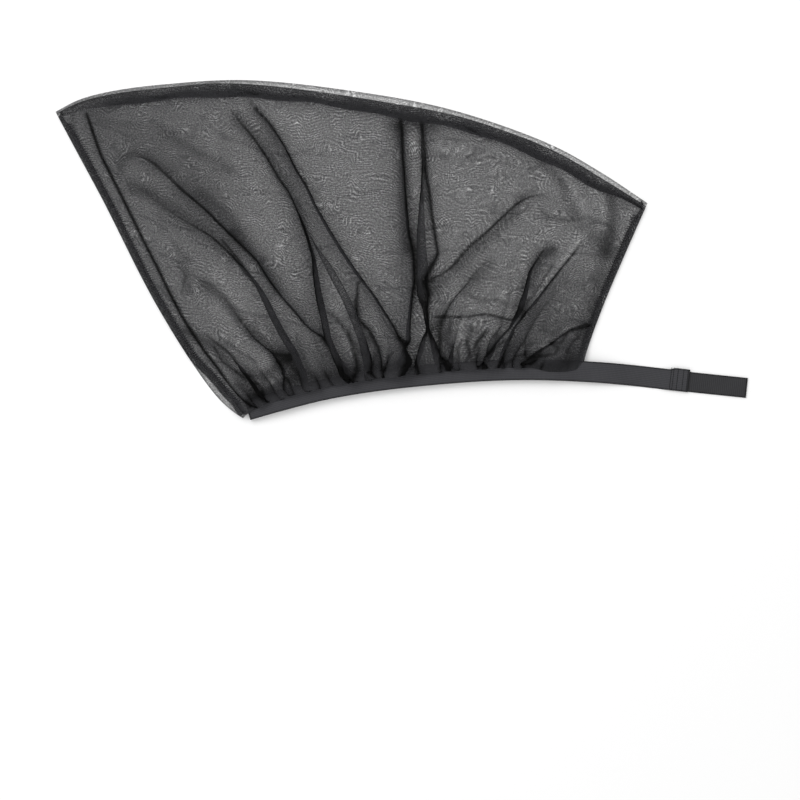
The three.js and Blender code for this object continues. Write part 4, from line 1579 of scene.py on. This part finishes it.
@dataclass
class Sewing:
    """Seam thread: overlock teeth on the side hems, bar tacks at the tips and on the strap."""

    plan: ShadePlan
    finish: NarrowFabric
    thread_radius: float = 0.4 * MM
    overlock_pitch: float = 3.0 * MM
    overlock_inner: float = 1.3
    overlock_outer: float = 0.4
    overlock_from_mouth: float = 18 * MM
    overlock_from_tip: float = 22 * MM
    tack_stitches: int = 9
    tack_seed: int = 5
    row_shift: float = 1.2 * MM
    row_lean: float = 0.2 * MM
    row_rise: float = 0.12 * MM
    strap_rows: Sequence[float] = (1.5 * MM, 4.5 * MM, 10.0 * MM, 17.0 * MM, 22.5 * MM)

    def sewn(self, name: str, stitches: Sequence[tuple[np.ndarray, np.ndarray]]) -> bpy.types.Object:
        """Makes one dressed piece of many short floats of thread."""
        return dress(strands(name, stitches, self.thread_radius), self.finish.material())

    def overlock(self, left: bool) -> list[tuple[np.ndarray, np.ndarray]]:
        """Sews the slanting teeth along a side hem.

        Args:
            left: Whether it is the left hem.

        Returns:
            The two ends of each stitch.
        """
        plan = self.plan
        length = float(plan.column_length(np.array(0.0 if left else 1.0)))
        reach = np.arange(self.overlock_from_mouth, length - self.overlock_from_tip, self.overlock_pitch)
        made = []
        for lean in (0.0, 0.5):
            near, far = reach / length, (reach + (0.25 + lean) * self.overlock_pitch) / length
            ends = []
            for v, across in ((near, self.overlock_inner), (far, self.overlock_outer)):
                share = plan.side_seam_width * across / plan.row_width(v)
                u = share + plan.rolled_in(v) / plan.row_width(v) if left else 1 - share
                height = plan.seam_bottom(u, v) + 1.5 * MM
                ends.append(plan.placed(plan.on_sheet(u, v), height))
            made += list(zip(ends[0], ends[1]))
        return made

    def across_strap(self, along: float, stitches: int = 11) -> list[tuple[np.ndarray, np.ndarray]]:
        """Sews a row of stitches across the strap.

        Args:
            along: Distance along the strap.
            stitches: Number of stitches.

        Returns:
            The two ends of each stitch.
        """
        plan = self.plan
        marks = np.linspace(self.row_shift, plan.band_width + self.row_shift, stitches)
        gap = (marks[1] - marks[0]) * 0.4
        row = np.full_like(marks, along)
        top = plan.front_band_bottom(row) + plan.band_thickness + self.row_rise
        start = plan.placed(plan.on_band(row, marks - gap), top)
        end = plan.placed(plan.on_band(row + self.row_lean, marks + gap), top)
        return list(zip(start, end))

    def tip_tack(self, u: float, v: float) -> list[tuple[np.ndarray, np.ndarray]]:
        """Ties the bundle of thread that closes a corner of the top edge.

        Args:
            u: Share across the sheet.
            v: Share up the sheet.

        Returns:
            The two ends of each stitch.
        """
        plan = self.plan
        centre = plan.on_sheet(np.array([u]), np.array([v]))[0]
        chance = np.random.default_rng(self.tack_seed)
        made = []
        for _ in range(self.tack_stitches):
            turn = chance.uniform(0, math.pi)
            half = np.array([math.cos(turn), math.sin(turn)]) * chance.uniform(1.2, 2.8) * MM
            shift = chance.normal(0, 1.0 * MM, 2)
            height = chance.uniform(1.5, 4.5) * MM
            flat = np.array([centre + shift - half, centre + shift + half])
            made.append(tuple(plan.placed(flat, np.array([height, height]))))
        return made

    def build(self) -> list[bpy.types.Object]:
        """Makes the sewing.

        Returns:
            The pieces of sewing.
        """
        plan = self.plan
        rows = []
        for step in self.strap_rows:
            rows += self.across_strap(plan.hook_start + step)
        return [
            self.sewn("left_overlock", self.overlock(True)),
            self.sewn("right_overlock", self.overlock(False)),
            self.sewn("strap_stitches", rows),
            self.sewn("tip_tacks", self.tip_tack(0.008, 0.985) + self.tip_tack(0.992, 0.985)),
        ]


# Elastics and closure


@dataclass
class NarrowStrip:
    """A strip of narrow fabric along the bands' outer edge, with rounded edges."""

    plan: ShadePlan
    name: str
    start: float
    end: float
    bottom: Callable[[np.ndarray], np.ndarray]
    thickness: float
    inset: float = 0.0
    step: float = 3 * MM
    profile_steps: int = 14
    wave: float = 0.15 * MM
    side_power: float = 0.7
    top_power: float = 0.22
    edge_shade_width: float = 1.3 * MM
    bulge: float = 0.0
    bulge_length: float = 26 * MM
    bulge_ramp: float = 8 * MM

    def place(self, share: np.ndarray, ring: np.ndarray) -> dict:
        """Places the strip's vertices round its flat section.

        Args:
            share: Shares along the strip.
            ring: Shares round its section.

        Returns:
            The vertices' places, their places on flat cloth, and the values for the finish.
        """
        along = mixed(self.start, self.end, share)
        width = self.plan.band_width - 2 * self.inset
        angle = ring * 2 * math.pi
        sine = np.sin(angle)
        across = 0.5 - 0.5 * np.sign(np.cos(angle)) * np.abs(np.cos(angle)) ** self.side_power
        up = 0.5 - 0.5 * np.sign(sine) * np.abs(sine) ** self.top_power
        bulged = smooth((along - self.end + self.bulge_length) / self.bulge_ramp)
        inwards = self.inset + across * (width + self.bulge * bulged)
        flat = self.plan.on_band(along, inwards)
        sway = self.wave * np.sin(along / (17 * MM)) * np.sin(along / (41 * MM) + 1)
        z = self.bottom(along) + up * self.thickness + np.abs(sway)
        uv = np.stack([along, inwards], -1)
        # rim marks the strip's edges and ends, where painted shade darkens its colour.
        from_edge = np.minimum(across, 1 - across) * width
        from_end = np.minimum(along - self.start, self.end - along)
        rim = np.maximum(bell(from_edge, self.edge_shade_width), bell(from_end, self.edge_shade_width))
        return {"co": self.plan.placed(flat, z), "uv": uv, "rim": rim}

    def build(self) -> bpy.types.Object:
        """Makes the strip as a closed shell.

        Returns:
            The strip.
        """
        columns = math.ceil((self.end - self.start) / self.step)
        piece = net(self.name, columns, 2 * self.profile_steps, self.place)
        close_ends(piece)
        return piece


@dataclass
class Elastics:
    """The front band with its strap, and the rear band."""

    plan: ShadePlan
    finish: NarrowFabric
    lap_bulge: float = 2.4 * MM

    def build(self) -> list[bpy.types.Object]:
        """Makes both bands. The strap bulges where it is sewn over the hook tape.

        Returns:
            The front and the rear band.
        """
        plan = self.plan
        finish = self.finish.material()
        front = NarrowStrip(
            plan, "elastic_strap", plan.corner_overhang, plan.strap_end,
            plan.front_band_bottom, plan.band_thickness, bulge=self.lap_bulge,
        ).build()
        rear = NarrowStrip(
            plan, "rear_elastic", plan.corner_overhang, plan.mouth_width,
            lambda along: np.full_like(along, plan.rear_band_bottom), plan.band_thickness, wave=0.0,
        ).build()
        return [
            dress(front, finish, ["front_band_and_strap"]),
            dress(rear, finish, ["rear_elastic_band"]),
        ]


@dataclass
class Closure:
    """Hook tape on the strap's end, and loop tape on the rear band. Both face the floor.

    The real pile has a hook or a loop every 1.2 mm. They are drawn 1.8 mm apart, and as much
    thicker, so that each still shows.
    """

    plan: ShadePlan
    hook_finish: NarrowFabric
    loop_finish: NarrowFabric
    hook_inset: float = 0.5 * MM
    pitch: float = 1.8 * MM
    hook_height: float = 0.6 * MM
    hook_reach: float = 0.45 * MM
    loop_height: float = 0.55 * MM
    loop_spread: float = 0.55 * MM
    loop_seed: int = 3
    pile_radius: float = 0.16 * MM
    edge: float = 1.6 * MM

    def rows(self, start: float, end: float, inset: float) -> tuple[np.ndarray, np.ndarray]:
        """Spreads the pile of a tape in staggered rows.

        Args:
            start: Where the tape starts along the band.
            end: Where it ends.
            inset: How far its edges lie inside the band's.

        Returns:
            Distances along and inwards.
        """
        along = np.arange(start + self.edge, end - self.edge, self.pitch)
        inwards = np.arange(inset + self.edge, self.plan.band_width - inset - self.edge, self.pitch)
        grid_along, grid_inwards = np.meshgrid(along, inwards)
        stagger = (np.arange(len(inwards)) % 2)[:, None] * self.pitch / 2
        return (grid_along + stagger).ravel(), grid_inwards.ravel()

    def hooks(self, start: float, end: float) -> bpy.types.Object:
        """Makes the hooks: a stem and a bent tip each.

        Args:
            start: Where the tape starts along the strap.
            end: Where it ends.

        Returns:
            The piece.
        """
        along, inwards = self.rows(start, end, self.hook_inset)
        foot = self.plan.on_band(along, inwards)
        tip = self.plan.on_band(along + self.hook_reach, inwards)
        made = []
        for low, high in zip(foot, tip):
            heights = np.array([self.hook_height, 2 * self.pile_radius])
            made.append(tuple(self.plan.placed(np.array([low, low]), heights)))
            heights = np.array([self.pile_radius, 2 * self.pile_radius])
            made.append(tuple(self.plan.placed(np.array([low, high]), heights)))
        return strands("hooks", made, self.pile_radius, ring=5)

    def loops(self, start: float, end: float, inset: float) -> bpy.types.Object:
        """Makes the loops: two strands each that lean against each other.

        Args:
            start: Where the tape starts along the band.
            end: Where it ends.
            inset: How far its edges lie inside the band's.

        Returns:
            The piece.
        """
        along, inwards = self.rows(start, end, inset)
        turns = np.random.default_rng(self.loop_seed).uniform(0, math.pi, len(along))
        made = []
        for foot, turn in zip(self.plan.on_band(along, inwards), turns):
            half = np.array([math.cos(turn), math.sin(turn)]) * self.loop_spread
            ends = self.plan.placed(
                np.array([foot - half, foot, foot + half]),
                np.array([self.loop_height, self.pile_radius, self.loop_height]),
            )
            made += [(ends[0], ends[1]), (ends[1], ends[2])]
        return strands("loops", made, self.pile_radius, ring=5)

    def build(self) -> list[bpy.types.Object]:
        """Makes both tapes and their pile.

        Returns:
            Each tape and its pile.
        """
        plan = self.plan
        hook_end = plan.hook_start + plan.hook_length
        hook = NarrowStrip(
            plan, "hook_strip", plan.hook_start, hook_end,
            lambda along: np.full_like(along, self.hook_height), plan.hook_thickness - self.hook_height,
            inset=self.hook_inset, wave=0.0,
        ).build()
        loop_end = plan.mouth_width - plan.loop_from_corner
        loop_start = loop_end - plan.loop_length
        loop_inset = (plan.band_width - plan.loop_width) / 2
        loop = NarrowStrip(
            plan, "loop_strip", loop_start, loop_end,
            lambda along: np.full_like(along, self.loop_height), plan.loop_thickness - self.loop_height,
            inset=loop_inset, wave=0.0,
        ).build()
        hook_material, loop_material = self.hook_finish.material(), self.loop_finish.material()
        return [
            dress(hook, hook_material, ["hook_tape"]),
            dress(self.hooks(plan.hook_start, hook_end), hook_material),
            dress(loop, loop_material, ["loop_tape"]),
            dress(self.loops(loop_start, loop_end, loop_inset), loop_material),
        ]


# The studio


@dataclass
class Studio:
    """A white floor, soft light from all round and a camera straight above."""

    floor_size: float = 8.0
    floor_color: str = "#f4f4f4"
    sky_strength: float = 0.95
    lamp_size: float = 1.6
    lamp_watts: float = 32.0
    lamp_place: tuple[float, float, float] = (-1.6, 1.4, 2.2)
    lens: float = 200.0
    sensor: float = 36.0
    frame_width: float = 1.0
    look_at: tuple[float, float] = (-0.0021, -0.1875)

    def floor(self) -> bpy.types.Object:
        """Makes the floor that the shade lies on.

        Returns:
            The floor.
        """
        made, tree = blank_material("matt white paper")
        place = add_node(tree, "ShaderNodeTexCoord").outputs["Object"]
        fibre = add_node(tree, "ShaderNodeTexNoise", {}, {"Vector": place, "Scale": 30.0, "Detail": 3.0})
        bump = add_node(tree, "ShaderNodeBump", {}, {
            "Height": fibre, "Strength": 0.05, "Distance": 0.2 * MM,
        })
        paper = add_node(tree, "ShaderNodeBsdfPrincipled", {}, {
            "Base Color": linear(self.floor_color), "Roughness": 0.9, "Specular IOR Level": 0.2,
            "Normal": bump,
        })
        add_node(tree, "ShaderNodeOutputMaterial", {}, {"Surface": paper})
        grid = bmesh.new()
        bmesh.ops.create_grid(grid, x_segments=4, y_segments=4, size=self.floor_size / 2)
        mesh = bpy.data.meshes.new("floor")
        grid.to_mesh(mesh)
        grid.free()
        mesh.materials.append(made)
        floor = linked("floor", mesh)
        return floor

    def lights(self) -> None:
        """Lights the room evenly, with one soft lamp from the upper left."""
        world = bpy.data.worlds.new("white room")
        world.use_nodes = True
        ground = world.node_tree.nodes["Background"]
        ground.inputs["Color"].default_value = (1.0, 1.0, 1.0, 1.0)
        ground.inputs["Strength"].default_value = self.sky_strength
        bpy.context.scene.world = world
        lamp = bpy.data.lights.new("softbox", "AREA")
        lamp.shape = "SQUARE"
        lamp.size = self.lamp_size
        lamp.energy = self.lamp_watts
        placed = linked("softbox", lamp)
        placed.location = self.lamp_place
        placed.rotation_euler = (Vector((0, 0, 0)) - placed.location).to_track_quat("-Z", "Y").to_euler()
        placed.visible_camera = False

    def camera(self) -> None:
        """Hangs the camera straight above the middle of the photograph."""
        lens = bpy.data.cameras.new("camera")
        lens.lens = self.lens
        lens.sensor_width = self.sensor
        lens.sensor_height = self.sensor
        lens.sensor_fit = "HORIZONTAL"
        lens.clip_end = 50.0
        placed = linked("camera", lens)
        placed.location = (*self.look_at, self.frame_width * self.lens / self.sensor)
        bpy.context.scene.camera = placed

    def build(self) -> None:
        """Makes the floor, the lights and the camera."""
        scene = bpy.context.scene
        scene.view_settings.view_transform = "Standard"
        scene.cycles.transparent_max_bounces = 64
        self.floor()
        self.lights()
        self.camera()


def main() -> None:
    """Builds the shade's pieces in order and reports each."""
    logging.basicConfig(level=logging.INFO, format="%(name)s: %(message)s")
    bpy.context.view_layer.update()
    plan = ShadePlan()
    Studio().build()
    MeshPanels(plan, StretchMesh("warp-knitted polyester mesh")).build()
    Hems(plan, StretchMesh("folded polyester mesh hem")).build()
    Elastics(
        plan,
        NarrowFabric("knitted polyester elastic", "#434346", "#2c2c2f", Weave.KNITTED_ELASTIC),
    ).build()
    Sewing(
        plan,
        NarrowFabric("spun polyester sewing thread", "#1c1c1e", "#101011", Weave.THREAD),
    ).build()
    Closure(
        plan,
        NarrowFabric("woven nylon hook tape", "#39393b", "#252527", Weave.WOVEN_TAPE),
        NarrowFabric("brushed nylon loop tape", "#38383a", "#202022", Weave.PILE),
    ).build()


if __name__ == "__main__":
    main()
